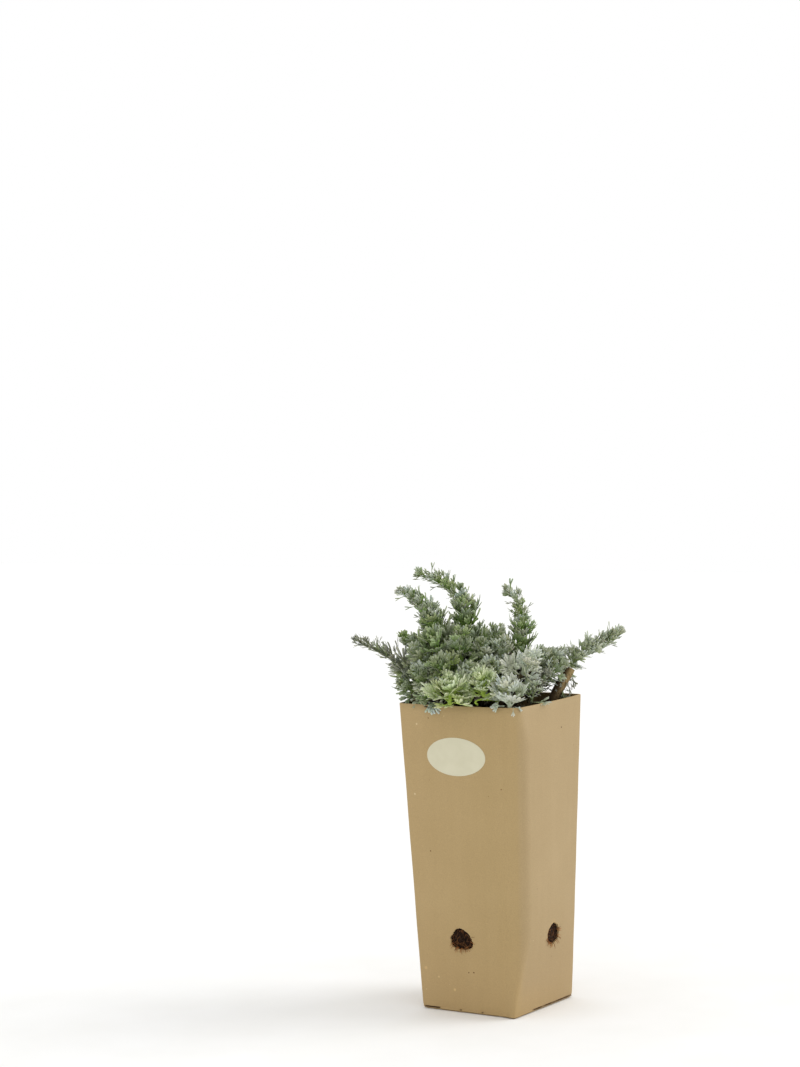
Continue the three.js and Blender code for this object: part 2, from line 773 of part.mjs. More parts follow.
// From the heart of the crown to just short of a shoot's foot, meeting it in its own direction
function branchCurve(shoot) {
  const heart = crownHeart();
  const direction = shoot.curve.getTangentAt(0);
  const end = shoot.curve.getPointAt(0).addScaledVector(direction, -CLEARANCE);
  const control = end.clone().addScaledVector(direction, -heart.distanceTo(end) * BRANCH.straightEnd);
  return new THREE.QuadraticBezierCurve3(heart, control, end);
}

function makeBareStem() {
  const curve = new THREE.CatmullRomCurve3(BARE_STEM.path.map(seen));
  const radiusAt = (share) => THREE.MathUtils.lerp(BARE_STEM.footRadius, BARE_STEM.tipRadius, share);
  return stemSolid(curve, radiusAt, BARE_STEM.sides, BARE_STEM.steps);
}

// Plain holes in the soil that the crown and the bare stem stand in
function makeRootHoles() {
  const below = (foot) => [foot[0], foot[1], foot[2] - CLEARANCE];
  const trunk = new THREE.LineCurve3(seen(below(TRUNK.foot)), seen(TRUNK.top));
  const [s, t, z] = BARE_STEM.path[2];
  const stemEnd = seen([s + BARE_STEM_HOLE.shift, t, z]);
  const stem = new THREE.LineCurve3(seen(below(BARE_STEM.path[0])), stemEnd);
  const stemHoleRadius = BARE_STEM.footRadius + BARE_STEM_HOLE.widening;
  return [
    stemSolid(trunk, () => TRUNK.footRadius + CLEARANCE, TRUNK.sides, 1),
    stemSolid(stem, () => stemHoleRadius, BARE_STEM_HOLE.sides, 1),
  ];
}

// Leaves are placed in turns, one on each shoot, so that neighbours share the room between them.
function fillWithLeaves(shoots, fixed) {
  const mostLeaves = Math.max(...shoots.map((shoot) => shoot.plan.length));
  for (let turn = 0; turn < mostLeaves; turn++) {
    for (const shoot of shoots) {
      const neighbours = shoots.filter((other) => other !== shoot);
      const spaces = neighbours.flatMap((other) => [other.stem, ...other.leaves.map((leaf) => leaf.blade)]);
      if (turn < shoot.plan.length) {
        growLeaf(shoot, shoot.plan[turn], [...fixed, ...spaces]);
      }
    }
  }
}

const MATERIALS = {
  board: new THREE.MeshStandardMaterial({ color: 0xb09a70, roughness: 0.85, metalness: 0 }),
  label: new THREE.MeshStandardMaterial({ color: 0xcfcab2, roughness: 0.6, metalness: 0 }),
  soil: new THREE.MeshStandardMaterial({ color: 0x2e1f14, roughness: 1, metalness: 0 }),
  bark: new THREE.MeshStandardMaterial({ color: 0x5e4a36, roughness: 0.95, metalness: 0 }),
};

const leafMaterial = (tone) =>
  new THREE.MeshStandardMaterial({ color: TONES[tone], roughness: 0.9, metalness: 0 });

function addMesh(group, name, geometry, material) {
  const mesh = new THREE.Mesh(geometry, material);
  geometry.computeVertexNormals();
  mesh.name = name;
  group.add(mesh);
}

function build() {
  const random = seededRandom(SEED);
  const group = new THREE.Group();
  const shoots = makeShoots(random);
  const solids = {
    pot: makePot(),
    label: makeLabel(),
    soil: makeSoil(random, makeRootHoles()),
    crown: makeCrown(shoots),
    bare_stem: makeBareStem(),
  };
  fillWithLeaves(shoots, Object.values(solids).map(withBox));
  const finishes = { pot: "board", label: "label", soil: "soil", crown: "bark", bare_stem: "bark" };
  for (const [name, solid] of Object.entries(solids)) {
    addMesh(group, name, toGeometry(solid), MATERIALS[finishes[name]]);
  }
  for (const shoot of shoots) {
    addMesh(group, shoot.name, shootGeometry(shoot), leafMaterial(shoot.tone));
  }
  return group;
}

export default build();
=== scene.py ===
import json
import math

import bpy
import numpy as np
from mathutils import Matrix, Vector, noise
from mathutils.bvhtree import BVHTree


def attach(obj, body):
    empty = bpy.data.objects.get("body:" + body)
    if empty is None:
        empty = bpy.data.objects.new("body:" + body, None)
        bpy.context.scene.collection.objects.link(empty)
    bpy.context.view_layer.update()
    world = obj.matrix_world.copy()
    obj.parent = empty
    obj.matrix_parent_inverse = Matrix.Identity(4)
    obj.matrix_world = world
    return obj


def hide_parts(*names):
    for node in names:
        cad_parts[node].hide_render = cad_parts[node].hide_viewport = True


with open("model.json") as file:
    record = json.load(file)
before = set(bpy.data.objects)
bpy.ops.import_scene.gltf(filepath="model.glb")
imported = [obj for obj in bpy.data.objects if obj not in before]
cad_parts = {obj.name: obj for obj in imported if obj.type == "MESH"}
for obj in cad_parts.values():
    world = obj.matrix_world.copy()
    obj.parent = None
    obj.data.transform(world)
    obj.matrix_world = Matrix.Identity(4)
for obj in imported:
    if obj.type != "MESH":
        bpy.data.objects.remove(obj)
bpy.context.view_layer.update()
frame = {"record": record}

METRES = 0.001
SEED = 20417

# Camera at the photograph's viewing angle, in metres and degrees
CAMERA_PLACE = (0.86312, -1.42150, 0.38459)
CAMERA_AZIMUTH = 33.209
CAMERA_PITCH = 2.5955
CAMERA_ROLL = 1.4840
CAMERA_LENS = 86.28

# Floor and light
FLOOR_REACH = 4000
WORLD_STRENGTH = 1.0
SUN_FROM = (0.9, -0.1, 0.7)
SUN_STRENGTH = 1.0
SUN_SPREAD = 35

# Pot
POT_HEIGHT = 200
RIM_SIDE = 88.4
BASE_SIDE = 73.2
BOARD = 1.3
BASE_BOARD = 2.4
FOLD_RADIUS = 5
BASE_EDGE_RADIUS = 2.4
FACE_BULGE = 1.4
BULGE_FULL_AT = 120
FRONT_BOW = (4.5, 7.5)
BOW_SHARE_AT_BASE = -0.3
BOW_SHARE_AT_RIM = 0.38
BOW_FULL_FROM = 60
BOW_EASES_FROM = 172
CREASE = 9
CREASE_RADIUS = 6
FRONT_RADIUS = 4
RIM_FRONT_RADIUS = 12
RIM_RADIUS_FROM = 160
CLEARANCE = 0.35

# Fineness of the pot at its five folds and on the five sides that follow them, and up its walls
ARC_STEPS = [8, 20, 14, 8, 8]
EDGE_STEPS = [44, 8, 40, 30, 30]
LONGEST_ROUNDING = 0.45
WALL_FOOT = 3
WALL_STEP = 4.0
RIM_ROUNDING = 0.22
POT_SHARP_ANGLE = 50

# The bottom edge's heights and insets, as shares of its radius
BASE_EDGE = [(0, 1), (0.1, 0.6), (0.3, 0.25)]

# Wear of the walls: long waves, and a pressed crease beside the front fold
WAVE_DEPTH = 0.16
WAVE_SIZE = 23
CREASE_DEPTH = 0.2
CREASE_WIDTH = 0.9

# The slit between the walls and the folded bottom, painted dark where it gapes as painted shade: on the whole
# +X wall, and as marks on the -Y one
SEAM_HEIGHTS = [(1.1, 0), (1.3, 1), (2.0, 1), (2.2, 0)]
SEAM_INSET = 0.06
SEAM_DEPTH = 0.6
SEAM_MARKS = [(-34.5, -21.5), (-7, -5.4), (9, 10.4)]
SEAM_GAPE = 0.75
SEAM_UNEVENNESS = 0.5
SEAM_WAVE_SIZE = 6
SEAM_SHADING = 1.3
SEAM_PAINTED_SHADE = (0.13, 0.085, 0.06)
FRONT_WALL_DEPTH = 2
RIGHT_WALL_DEPTH = 1

# Specks on the walls that run along X (0) and Y (1): place along and up, radius and colour
SPECKS = [
    (0, -23.2, 104.6, 0.55, "6a4c2c"),
    (0, 1.5, 27.0, 0.5, "4c3018"),
    (0, 5.3, 27.4, 0.6, "4c3018"),
    (0, -20.1, 191.4, 0.5, "6a4c2c"),
    (0, 31.6, 147.7, 0.5, "7c5c38"),
    (0, -33.5, 141.2, 0.8, "cdb890"),
    (0, -9.8, 14.7, 1.1, "c4a878"),
    (0, -21.6, 22.1, 0.7, "c8ad7e"),
    (0, -31.3, 27.1, 1.3, "c2a474"),
    (0, -29.5, 187.1, 0.8, "cdb890"),
    (1, 10.9, 182.0, 0.7, "5a4024"),
]

# Tints multiply the board's own colour: a lighter cut rim, painted shade on the inside, painted light that
# makes the +X wall paler and greyer, and painted shade that darkens the -Y wall towards the front fold. The
# blends are measured from the +X wall and the front fold.
RIM_TINT = (1.13, 1.14, 1.17)
# Painted shade inside the pot
INSIDE_PAINTED_SHADE = (0.6, 0.56, 0.5)
# Painted light: the +X wall made paler and greyer, as it is lit more strongly
RIGHT_WALL_PAINTED_LIGHT = (0.925, 0.95, 1.05)
RIGHT_WALL_PAINTED_LIGHT_BLENDS = (-2, 0.5)
# Painted shade: the -Y wall darkens from its -X edge towards the front fold
FOLD_PAINTED_SHADE = (0.955, 0.955, 0.93)
FOLD_BLEND = 9

# Drain holes: the outline as shares of the width and height, then each wall's turn, offset and roundness
DRAIN_HEIGHT = 48.5
DRAIN_WIDTH = 17
DRAIN_RISE = 14
DRAIN_CUT = 12
DRAIN_OUTLINE = [
    (-0.5, 0.02), (-0.36, -0.4), (0.02, -0.48), (0.34, -0.42), (0.52, -0.24), (0.45, 0.08),
    (0.3, 0.33), (0.11, 0.47), (-0.08, 0.5), (-0.27, 0.41), (-0.38, 0.2),
]
DRAIN_OVAL = 0.49
DRAIN_POINTS = 70
DRAIN_RAGGEDNESS = 0.16
DRAINS = [(0, -3, 0), (90, 3.4, 0.8), (180, 2, 0.3), (270, -5, 0.5)]

# Roots in the drain holes. Depths are behind the wall's outer face, spreads are shares of a hole.
ROOTS = 70
ROOT_SPREAD = 0.42
ROOT_LIMIT = 0.47
ROOT_DEPTH = 1.7
ROOT_DEPTHS = (0.7, 2.2)
ROOT_WANDER = (1.6, 0.35, 1.6)
ROOT_TURNS = 5
ROOT_STEPS = 9
ROOT_SIDES = 5
ROOT_RADII = (0.12, 0.3)
# Each root's darkness: random tone, and painted shade inside the hole
ROOT_TONES_AND_PAINTED_SHADE = (0.3, 1.1)

# Roots that curl out over a hole's edge. The foot is in shares of the hole, and the rest starts from it.
CURLS = 24
CURL_BEARINGS = (-2.9, 0.4)
CURL_FOOT = (0.4, 0, 0.42)
CURL_REACHES = (1.5, 4.2)
CURL_DEPTH = 0.9
CURL_MIDDLE = (0, -1.3, 0)
CURL_END = (0, -1.35, -0.4)
CURL_LIFTS = (-0.2, 0.1)
CURL_STEPS = 8
CURL_RADII = (0.2, 0.09)
# Painted light: the curls over the hole's lower edge are made brighter, as lit
CURL_PAINTED_LIGHT = (1.0, 2.6)

# Label on the -Y wall
LABEL_CENTRE = (-0.4, 167.2)
LABEL_SIZE = (43.7, 24.7)
LABEL_THICKNESS = 0.14
LABEL_LIFT = 0.03
LABEL_SIDES = 96
LABEL_ROWS = 7
LABEL_BACK = (1.0, 0.66, 0.33)
LABEL_SHARP_ANGLE = 40

# Soil, with the depth and size of its lumps, and the crumbs that lie on it
SOIL_TOP = 187
SOIL_EDGE_DROP = 1.5
SOIL_CROWN = 3
SOIL_CROWN_REACH = 40
SOIL_LUMPS = [(1.5, 9), (0.9, 2.6), (0.5, 1.1)]
SOIL_SIDE_RINGS = 24
SOIL_TOP_RINGS = 34
SOIL_MIDDLE = 0.04
SOIL_SIDE_TINT = (0.6, 0.36, 0.24)
CRUMBS = 420
CRUMB_SPREAD = 0.93
CRUMB_SIZES = (0.5, 1.7)
CRUMB_PROFILE = [(-0.75, 0.6), (0, 1.0), (0.7, 0.65)]
CRUMB_SIDES = 7
CRUMB_EDGES = (0.7, 1.25)
CRUMB_STRETCHES = (0.6, 1.1)
CRUMB_TURNS = (0, 6.3)
CRUMB_SHADES = (0.7, 1.7)

# The plant is described as seen from its front: s to the right, t towards the viewer, z up.
PLANT_FRONT = math.radians(31.3)
UP = np.array([0.0, 0, 1])
GOLDEN_ANGLE = math.radians(137.5)
PATH_FINENESS = 24

# Ridges of the bark: how close they stand round the stem, their length and their share
BARK_RIDGES = [(3, 7, 1.0), (9, 2.6, 0.6)]

# Crown, its bark darkened as painted shade inside the dome, the branches also a little greyer
TRUNK_FOOT = (-8, -4, 181)
TRUNK_TOP = (-5, 0, 216)
TRUNK_STEPS = 20
TRUNK_SIDES = 22
TRUNK_RADII = (9, 5)
TRUNK_SWELL = 4
TRUNK_SWELLS_FROM = 0.42
TRUNK_RIDGES = 0.09
TRUNK_PAINTED_SHADE = (0.4, 0.4, 0.4)
HEART_DEPTH = 14
BRANCH_STEPS = 14
BRANCH_SIDES = 9
BRANCH_RADII = (2.2, 1.3)
BRANCH_CONTROL = 0.35
BRANCH_BEND = 0.7
BRANCH_OVERLAP = 0.5
BRANCH_RIDGES = 0.12
BRANCH_PAINTED_SHADE = (0.3, 0.32, 0.28)
WITHERED_LEAVES = 12
WITHERED_FROM = 3
WITHERED_DROOP = 0.4
WITHERED_PITCHES = (0.7, 1.6)
WITHERED_LENGTHS = (9, 14)
WITHERED_CURLS = (0.5, 2)
WITHERED_ROLL = 0.6

# Bare stem, with painted light on its lit side and painted shade on the rest. The painted light runs round
# it, and along it as shares of its length.
BARE_STEM_PATH = [(35, -3, 180), (38, -3.5, 190), (42, -4.5, 200), (47, -6, 209), (52.5, -8, 218)]
BARE_STEM_STEPS = 44
BARE_STEM_SIDES = 30
BARE_STEM_RADII = (3.8, 3.3)
BARE_STEM_RIDGES = 0.16
BARE_STEM_PAINTED_SHADE = (0.3, 0.27, 0.25)
BARE_STEM_PAINTED_LIGHT = (1.5, 1.5, 1.3)
BARE_STEM_PAINTED_LIT_SIDE = (1, 0.35, 0.1)
STEM_PAINTED_LIGHT_ROUND = (-0.2, 0.8)
STEM_PAINTED_LIGHT_ALONG = (0.35, 0.85)
STEM_PAINTED_LIGHT_ENDS = (0, 0.5)

# Leaves on the bare stem: droop, tones and lengths on its left and its right, then those that hang
STEM_LEAVES = 80
STEM_LEAVES_FROM = 8
STEM_RIGHT_SIDE = (1, 0.4, 0)
STEM_LEFT_BELOW = -0.1
# The left is the stem's shaded side: its mostly withered leaves, a real kind, are put there darker as painted
# shade
LEFT_OF_STEM = (0.3, ["withered", "withered", "dusk"], (7, 13))
RIGHT_OF_STEM = (0.7, ["dusk", "grey"], (4, 7))
STEM_LEAF_PITCHES = (1.2, 2.0)
STEM_LEAF_CURLS = (-1.2, 0.5)
STEM_LEAF_DEPTH = 0.8
HANGING_LEAVES = [0.62, 0.66, 0.7, 0.8, 0.9, 0.95]
HANGING_TOWARDS = (1, 0.2, -0.9)
HANGING_PITCHES = (1.7, 2.1)
HANGING_LENGTHS = (9, 12)
HANGING_CURL = -0.9
HANGING_SEEKING = -0.15

# Long shoots. Tones, leaf lengths and pitches (the angle between leaf and stem) run from foot to tip.
LONG_SHOOTS = {
    "shoot_west": {
        "path": [
            (-50, 6, 218), (-58, 6, 224), (-64, 6, 228.5), (-69, 7, 232), (-74, 8, 235), (-80, 10, 237.5),
            (-84, 12, 240),
        ],
        "leaves": 64, "tones": ("dusk", "dusk"), "lengths": (13, 7.5, 6.5), "pitches": (0.9, 0.6, 0.45),
        "variant": 3,
    },
    "shoot_northwest": {
        "path": [
            (-27, 6, 226), (-34, 6, 243), (-37.5, 8, 252), (-41, 10, 258), (-45, 12, 263.5), (-50, 14, 268),
            (-54.5, 18, 271),
        ],
        "leaves": 108, "tones": ("green", "pale"), "lengths": (15, 11.5, 7.5), "pitches": (0.95, 0.7, 0.4),
        "variant": 2,
    },
    "shoot_top": {
        "path": [
            (-10, 0, 226), (-14.5, 0, 241), (-15.5, -2, 252), (-17, -5, 259), (-19, -8, 265.5),
            (-23.5, -10, 270.5), (-29.5, -12, 274.5), (-36, -14, 278), (-42, -15, 280),
        ],
        "leaves": 125, "tones": ("green", "silver"), "lengths": (15.5, 10.3, 8), "pitches": (1.0, 0.8, 0.42),
        "variant": 2,
    },
    "shoot_upright": {
        "path": [
            (18, -7, 222), (21, -7, 237), (21.5, -10, 246), (21.5, -13, 252), (20.5, -15, 258),
            (18.5, -18, 263), (14.5, -21.5, 267),
        ],
        "leaves": 96, "tones": ("green", "silver"), "lengths": (14, 8, 7.5), "pitches": (0.95, 0.75, 0.4),
        "variant": 3,
    },
    "shoot_east": {
        "path": [
            (52.7, -8.2, 218.8), (55.8, -8.5, 223), (60.5, -9, 226), (67.5, -10, 229), (75, -11, 232.5),
            (80, -12, 235.5), (83, -12, 238),
        ],
        "leaves": 84, "tones": ("silver", "silver"), "lengths": (8.5, 8, 8.5), "pitches": (1.0, 0.8, 0.38),
        "seeking": 0.75, "variant": 1,
    },
}
SHOOT_STEPS = 60
SHOOT_RADII = (1.9, 0.7)
STEM_SIDES = 8
STEM_SHADE = 0.8
SHOOT_LEAF_DEPTH = 0.5
SHOOT_SEEKING = 0.45
SHOOT_TURN_JITTER = 0.25
SHOOT_PITCH_JITTER = 0.18
SHOOT_LENGTHS = (0.85, 1.1)
SHOOT_KINDS = {
    "slender": ["slim", "slim", "young"],
    "outer": ["young", "narrow"],
    "inner": ["narrow", "broad"],
}
OUTER_FROM = 0.6
TUFTS_ALONG = 7
TUFT_DEPTH = 0.5
STRAY_EVERY = 7
STRAY_SEEKING = 0.15
STRAY_TONE = "dusk"
STRAY_LENGTHENING = 1.25
STRAY_PITCHES = (1.0, 1.6)
LONGEST_STRAY = 11
COLLAR_LEAVES = 14
COLLAR_PITCHES = (1.3, 2.1)
TIP_LEAVES = 6
TIP_LENGTHS = (0.75, 1.1)
TIP_PITCH = 0.1
TIP_PITCH_STEP = 0.07
TIP_SEEKING = 0.15
TIP_TONE_DELAY = 1.8

# Short shoots of the dome: place of the head, leaf length and tone
HEADS = [
    ((-58, -6, 219), 14, "grey"),
    ((-56, 17, 211), 13, "grey"),
    ((-54, -10, 238), 12, "green"),
    ((-47, 26, 233), 12, "grey"),
    ((-38, 25, 243), 13, "green"),
    ((-47, 38, 221), 12, "grey"),
    ((-33, 43, 226), 13, "green"),
    ((-43, 36, 209), 11, "grey"),
    ((-26, 49, 212), 15, "lime"),
    ((-21, 30, 236), 13, "green"),
    ((-14, 46, 223), 12, "grey"),
    ((-7, 53, 215), 13, "lime"),
    ((-5, 26, 236), 12, "grey"),
    ((1, 43, 224), 12, "silver"),
    ((10.5, 57, 209.5), 14, "pale"),
    ((9, 24, 236), 12, "silver"),
    ((26, 37, 226), 14, "pale"),
    ((34, 7, 228), 11, "silver"),
    # rosette_19: its dusk tone darkens its leaves as painted shade
    ((37, 21, 218), 9, "dusk"),
    ((28, 34, 208), 11, "silver"),
    ((39, -15, 226), 10, "grey"),
    ((3, -3, 243), 9, "grey"),
    ((-38, -9, 243), 12, "green"),
    ((-25, -22, 239), 12, "grey"),
    ((-3, -24, 238), 12, "green"),
    ((20, -33, 228), 12, "grey"),
    ((-44, -30, 224), 12, "grey"),
    ((-28, -45, 217), 13, "grey"),
    ((-5, -47, 220), 13, "silver"),
    ((36, -33, 214), 12, "grey"),
    ((-20, 17, 243), 12, "green"),
    ((7, 9, 244), 9, "grey"),
    ((-46, 8, 237), 12, "grey"),
    ((46, -6, 226), 11, "silver"),
    ((47, 7, 221), 10, "grey"),
]
HEAD_STEM = 11
HEAD_LIFT = 0.32
HEAD_STEPS = 8
HEAD_RADII = (1.5, 0.9)
HEAD_LEAF_DEPTH = 0.6
HEAD_TURN_JITTER = 0.2
HEAD_PITCH_JITTER = 0.2
HEAD_PITCHES = (1.25, 0.2)
HEAD_INNER_FROM = 0.25
HEAD_LENGTHS = (0.8, 1.2)
HEAD_SHORTENING = (1.15, 0.7)
HEAD_TIP_FROM = 0.85
HEAD_TIP_KINDS = ["narrow", "young"]
LEAVES_PER_HEAD = 29
LOWEST_LEAF = -0.9

# Heads that differ in their stem's foot and thickness, or in their leaves' number, kinds and pitches.
# Some have bent stalks beside them, or leaves that hang over the rim, each with its kind, root and end.
SPECIAL_HEADS = {
    "rosette_08": {"over_rim": [("fan", (-42.9, 24, 203.3), (-31.9, 37, 198))]},
    "rosette_09": {"foot": (-26, 45, 202), "leaves": 34},
    "rosette_12": {
        "foot": (-4, 48, 207),
        "stalks": [
            [(-0.2, 43, 203.5), (-4.9, 44, 206.6), (-9.2, 45, 209.9), (-15.3, 45, 211)],
            [(-8.4, 44, 200.9), (-10, 45, 203.2), (-6.8, 44, 204.3), (-0.5, 43, 203.5)],
            [(-14.5, 43, 201.5), (-17.6, 44, 203.8), (-19.5, 45, 206)],
        ],
    },
    "rosette_15": {
        "foot": (12, 55, 200), "leaves": 15, "kinds": ["paddle"], "pitches": (1.05, 0.15), "variant": 3,
        "over_rim": [
            ("fan", (8.5, 57.5, 201.4), (-1.8, 55.5, 201.9)),
            ("narrow", (15, 60.5, 201), (21, 56.5, 199)),
            ("slim", (14, 60.5, 200.8), (13.7, 64, 195.4)),
        ],
    },
    "rosette_17": {"leaves": 20, "kinds": ["paddle"], "pitches": (1.4, 0.6), "variant": 1},
    "rosette_20": {"foot": (25.8, 30, 200), "leaves": 7, "kinds": ["sprig"], "stem": 0.5, "variant": 1},
}
STALK_STEPS = 12
STALK_SIDES = 7
STALK_RADII = (0.8, 0.45)
STALK_LEAVES = 3
STALK_LEAF_TURN = 2
STALK_LEAF_PITCH = 0.5
STALK_LEAF_LENGTH = 0.7
OVER_RIM_FACING = (0, 1, 1)
OVER_RIM_TONE = "pale"
OVER_RIM_CURL = 0.3

# Leaf kinds: segments, lobes on each, half the angle that they fan over, and half a lobe's width
LEAF_KINDS = {
    "broad": (3, 3, 0.75, 0.052),
    "fan": (5, 2, 0.95, 0.052),
    "feather": (5, 3, 1.0, 0.042),
    "paddle": (5, 3, 1.0, 0.046),
    "sprig": (3, 3, 0.6, 0.034),
    "narrow": (3, 2, 0.5, 0.05),
    "slim": (3, 1, 0.4, 0.05),
    "stray": (1, 2, 0, 0.046),
    "young": (3, 2, 0.36, 0.05),
}
TEMPLATES_OF_A_KIND = 5
HEAD_KINDS = {
    "pale": ["paddle"],
    "dusk": ["broad"],
    "silver": ["broad", "fan"],
    "grey": ["broad", "broad", "narrow"],
    "green": ["broad", "feather"],
    "lime": ["feather"],
}

# A leaf's parts, for a leaf of unit length. Profiles give half widths as shares, from foot to tip.
LENS = np.array([(-1, 0.0), (0, 1), (1, 0.0), (0, -1)])
HALF_DEPTH = 0.24
STALK_PROFILE = [(0.0, 1.0), (0.5, 0.8), (1.0, 1.05)]
WEDGE_PROFILE = [(0.0, 0.3), (0.5, 0.62), (1.0, 1.0)]
LOBE_PROFILE = [(0.0, 0.7), (0.4, 0.92), (0.82, 1.0), (0.97, 0.66)]
STALK_WIDTH = 0.032
STALK_LENGTHS = (0.3, 0.4)
SEGMENT_JITTER = 0.06
SEGMENT_SHORTENING = 0.16
SEGMENT_LENGTHS = (0.92, 1.04)
SEGMENT_RISE = 0.1
SEGMENT_LIFTS = (-0.04, 0.08)
FORK_LENGTHS = (0.24, 0.36)
FORK_WIDTH = 0.75
FORK_WIDTH_PER_LOBE = 0.4
LOBE_TURNS = (0.34, 0.55)
LOBE_SHORTENING = 0.2
LOBE_LENGTHS = (0.9, 1.08)
LOBE_WIDTHS = (0.85, 1.15)
LOBE_SWEEPS = (-0.1, 0.5)
LOBE_RISES = (-0.05, 0.3)

# How each leaf bends and turns to the light
LEAF_CURLS = (-0.6, 0.4)
LEAF_ROLL = 0.35
LEAF_CUPS = (0, 0.7)
LIGHT_SEEKING = 0.2
LOWEST_SLOPE = -0.25

# Leaf colours at the foot and at the lobe tips, as sRGB hex, and the tones that grow among each other
TONES = {
    "pale": ("b5bfa4", "dadfd4"),
    "silver": ("95a373", "c5cbbe"),
    "grey": ("74884a", "a9b29c"),
    "green": ("6f9035", "a1ad86"),
    "lime": ("a6c24e", "d8debe"),
    # dusk is darker and greyer than grey; on rosette_19 it is painted shade
    "dusk": ("697056", "a2a497"),
    "withered": ("2c2717", "57503a"),
}
NEIGHBOUR_TONES = {
    "pale": ["pale", "pale", "pale", "silver"],
    "silver": ["silver", "silver", "silver", "grey"],
    "grey": ["grey", "grey", "grey", "green", "silver"],
    "green": ["green", "green", "grey"],
    "lime": ["lime"],
    "dusk": ["dusk", "dusk", "dusk", "grey"],
    "withered": ["withered"],
}
TONE_BLEND = (0.32, 1.02)
LEAF_WARMTH = 0.03
LEAF_SHADES = (0.86, 1.14)

# Plain finishes: surface, two colours in patches, flecks of others, and relief. Sizes are in millimetres.
FINISHES = {
    "label_paper": {
        "surface": {"Roughness": 0.55, "Specular IOR Level": 0.35},
        "colours": ("ccc7ac", "d2cdb3"),
        "patches": {"size": 9},
        "relief": {"size": 0.4},
        "depth": 0.012,
    },
    "soil": {
        "surface": {"Roughness": 0.95, "Specular IOR Level": 0.2},
        "colours": ("170f08", "3a2716"),
        "patches": {"size": 2.2, "detail": 4, "roughness": 0.7, "span": (0.3, 0.72)},
        "flecks": {"fleck": "6a5034", "size": 2.4, "share": 0.12, "radius": 0.22},
        "relief": {"size": 0.9, "detail": 4, "roughness": 0.75},
        "depth": 0.5,
    },
    "bark": {
        "surface": {"Roughness": 0.9, "Specular IOR Level": 0.2},
        "colours": ("54432f", "a8926e"),
        "patches": {"size": 1.1, "detail": 4, "stretch": (1, 1, 0.3), "roughness": 0.7, "span": (0.3, 0.72)},
        "flecks": {"fleck": "35281a", "size": 1.6, "share": 0.2, "radius": 0.2, "stretch": (1, 1, 0.5)},
        "relief": {"size": 0.7, "detail": 4, "stretch": (1, 1, 0.4), "roughness": 0.7},
        "depth": 0.35,
    },
    "roots": {
        "surface": {"Roughness": 0.8, "Specular IOR Level": 0.3},
        "colours": ("4a2a12", "7c5026"),
        "patches": {"size": 1.3, "detail": 3, "roughness": 0.7},
    },
    "floor_paint": {
        "surface": {"Roughness": 0.9, "Specular IOR Level": 0.1},
        "colours": ("f0f0ee", "f3f3f2"),
        "patches": {"size": 60},
    },
}
LEAF_SURFACE = {
    "Roughness": 0.85, "Specular IOR Level": 0.2, "Sheen Weight": 0.2, "Sheen Roughness": 0.45,
    "Sheen Tint": (1, 0.97, 0.88, 1), "Subsurface Weight": 0.25, "Subsurface Scale": 0.001,
    "Subsurface Radius": (0.85, 0.85, 0.5),
}

random = np.random.default_rng(SEED)


def reseed(name, variant=0):
    """Starts a piece's random draws afresh, so that a change to one piece leaves the others alone"""
    global random
    random = np.random.default_rng([SEED, variant, *name.encode()])


def draw(span):
    return random.uniform(*span)


def pick(options):
    return options[int(random.integers(len(options)))]


def linear(hex_colour):
    """The linear colour of an sRGB hex string"""
    values = np.array([int(hex_colour[i:i + 2], 16) / 255 for i in (0, 2, 4)])
    return np.where(values <= 0.04045, values / 12.92, ((values + 0.055) / 1.055) ** 2.4)


def smoothstep(value, low, high):
    share = np.clip((value - low) / (high - low), 0, 1)
    return share * share * (3 - 2 * share)


def lerp(a, b, share):
    return a + (b - a) * share


def unit(vectors):
    return vectors / np.linalg.norm(vectors, axis=-1, keepdims=True)


def round_angles(count):
    return np.linspace(0, 2 * math.pi, count, endpoint=False)


def seen(point):
    """A point of the plant's front view, in the pot's own axes"""
    s, t, z = point
    cos, sin = math.cos(PLANT_FRONT), math.sin(PLANT_FRONT)
    return np.array([s * cos + t * sin, s * sin - t * cos, z])


def linked(name, data):
    """A new object in the scene"""
    thing = bpy.data.objects.new(name, data)
    bpy.context.scene.collection.objects.link(thing)
    return thing


# Meshes
def ring_quads(rows, columns):
    """Quads of a closed skin of rings, each ring with this many columns"""
    row, column = np.meshgrid(np.arange(rows - 1), np.arange(columns), indexing="ij")
    following = (column + 1) % columns
    corners = [row * columns + column, row * columns + following]
    corners += [(row + 1) * columns + following, (row + 1) * columns + column]
    return np.stack(corners, axis=-1).reshape(-1, 4)


def end_fans(rows, columns):
    """Triangles that close the first and the last ring round the two points that follow the rings"""
    here = np.arange(columns)
    following = (here + 1) % columns
    last = (rows - 1) * columns
    middle = rows * columns
    low = np.column_stack([np.full(columns, middle), following, here])
    high = np.column_stack([np.full(columns, middle + 1), last + here, last + following])
    return np.vstack([low, high])


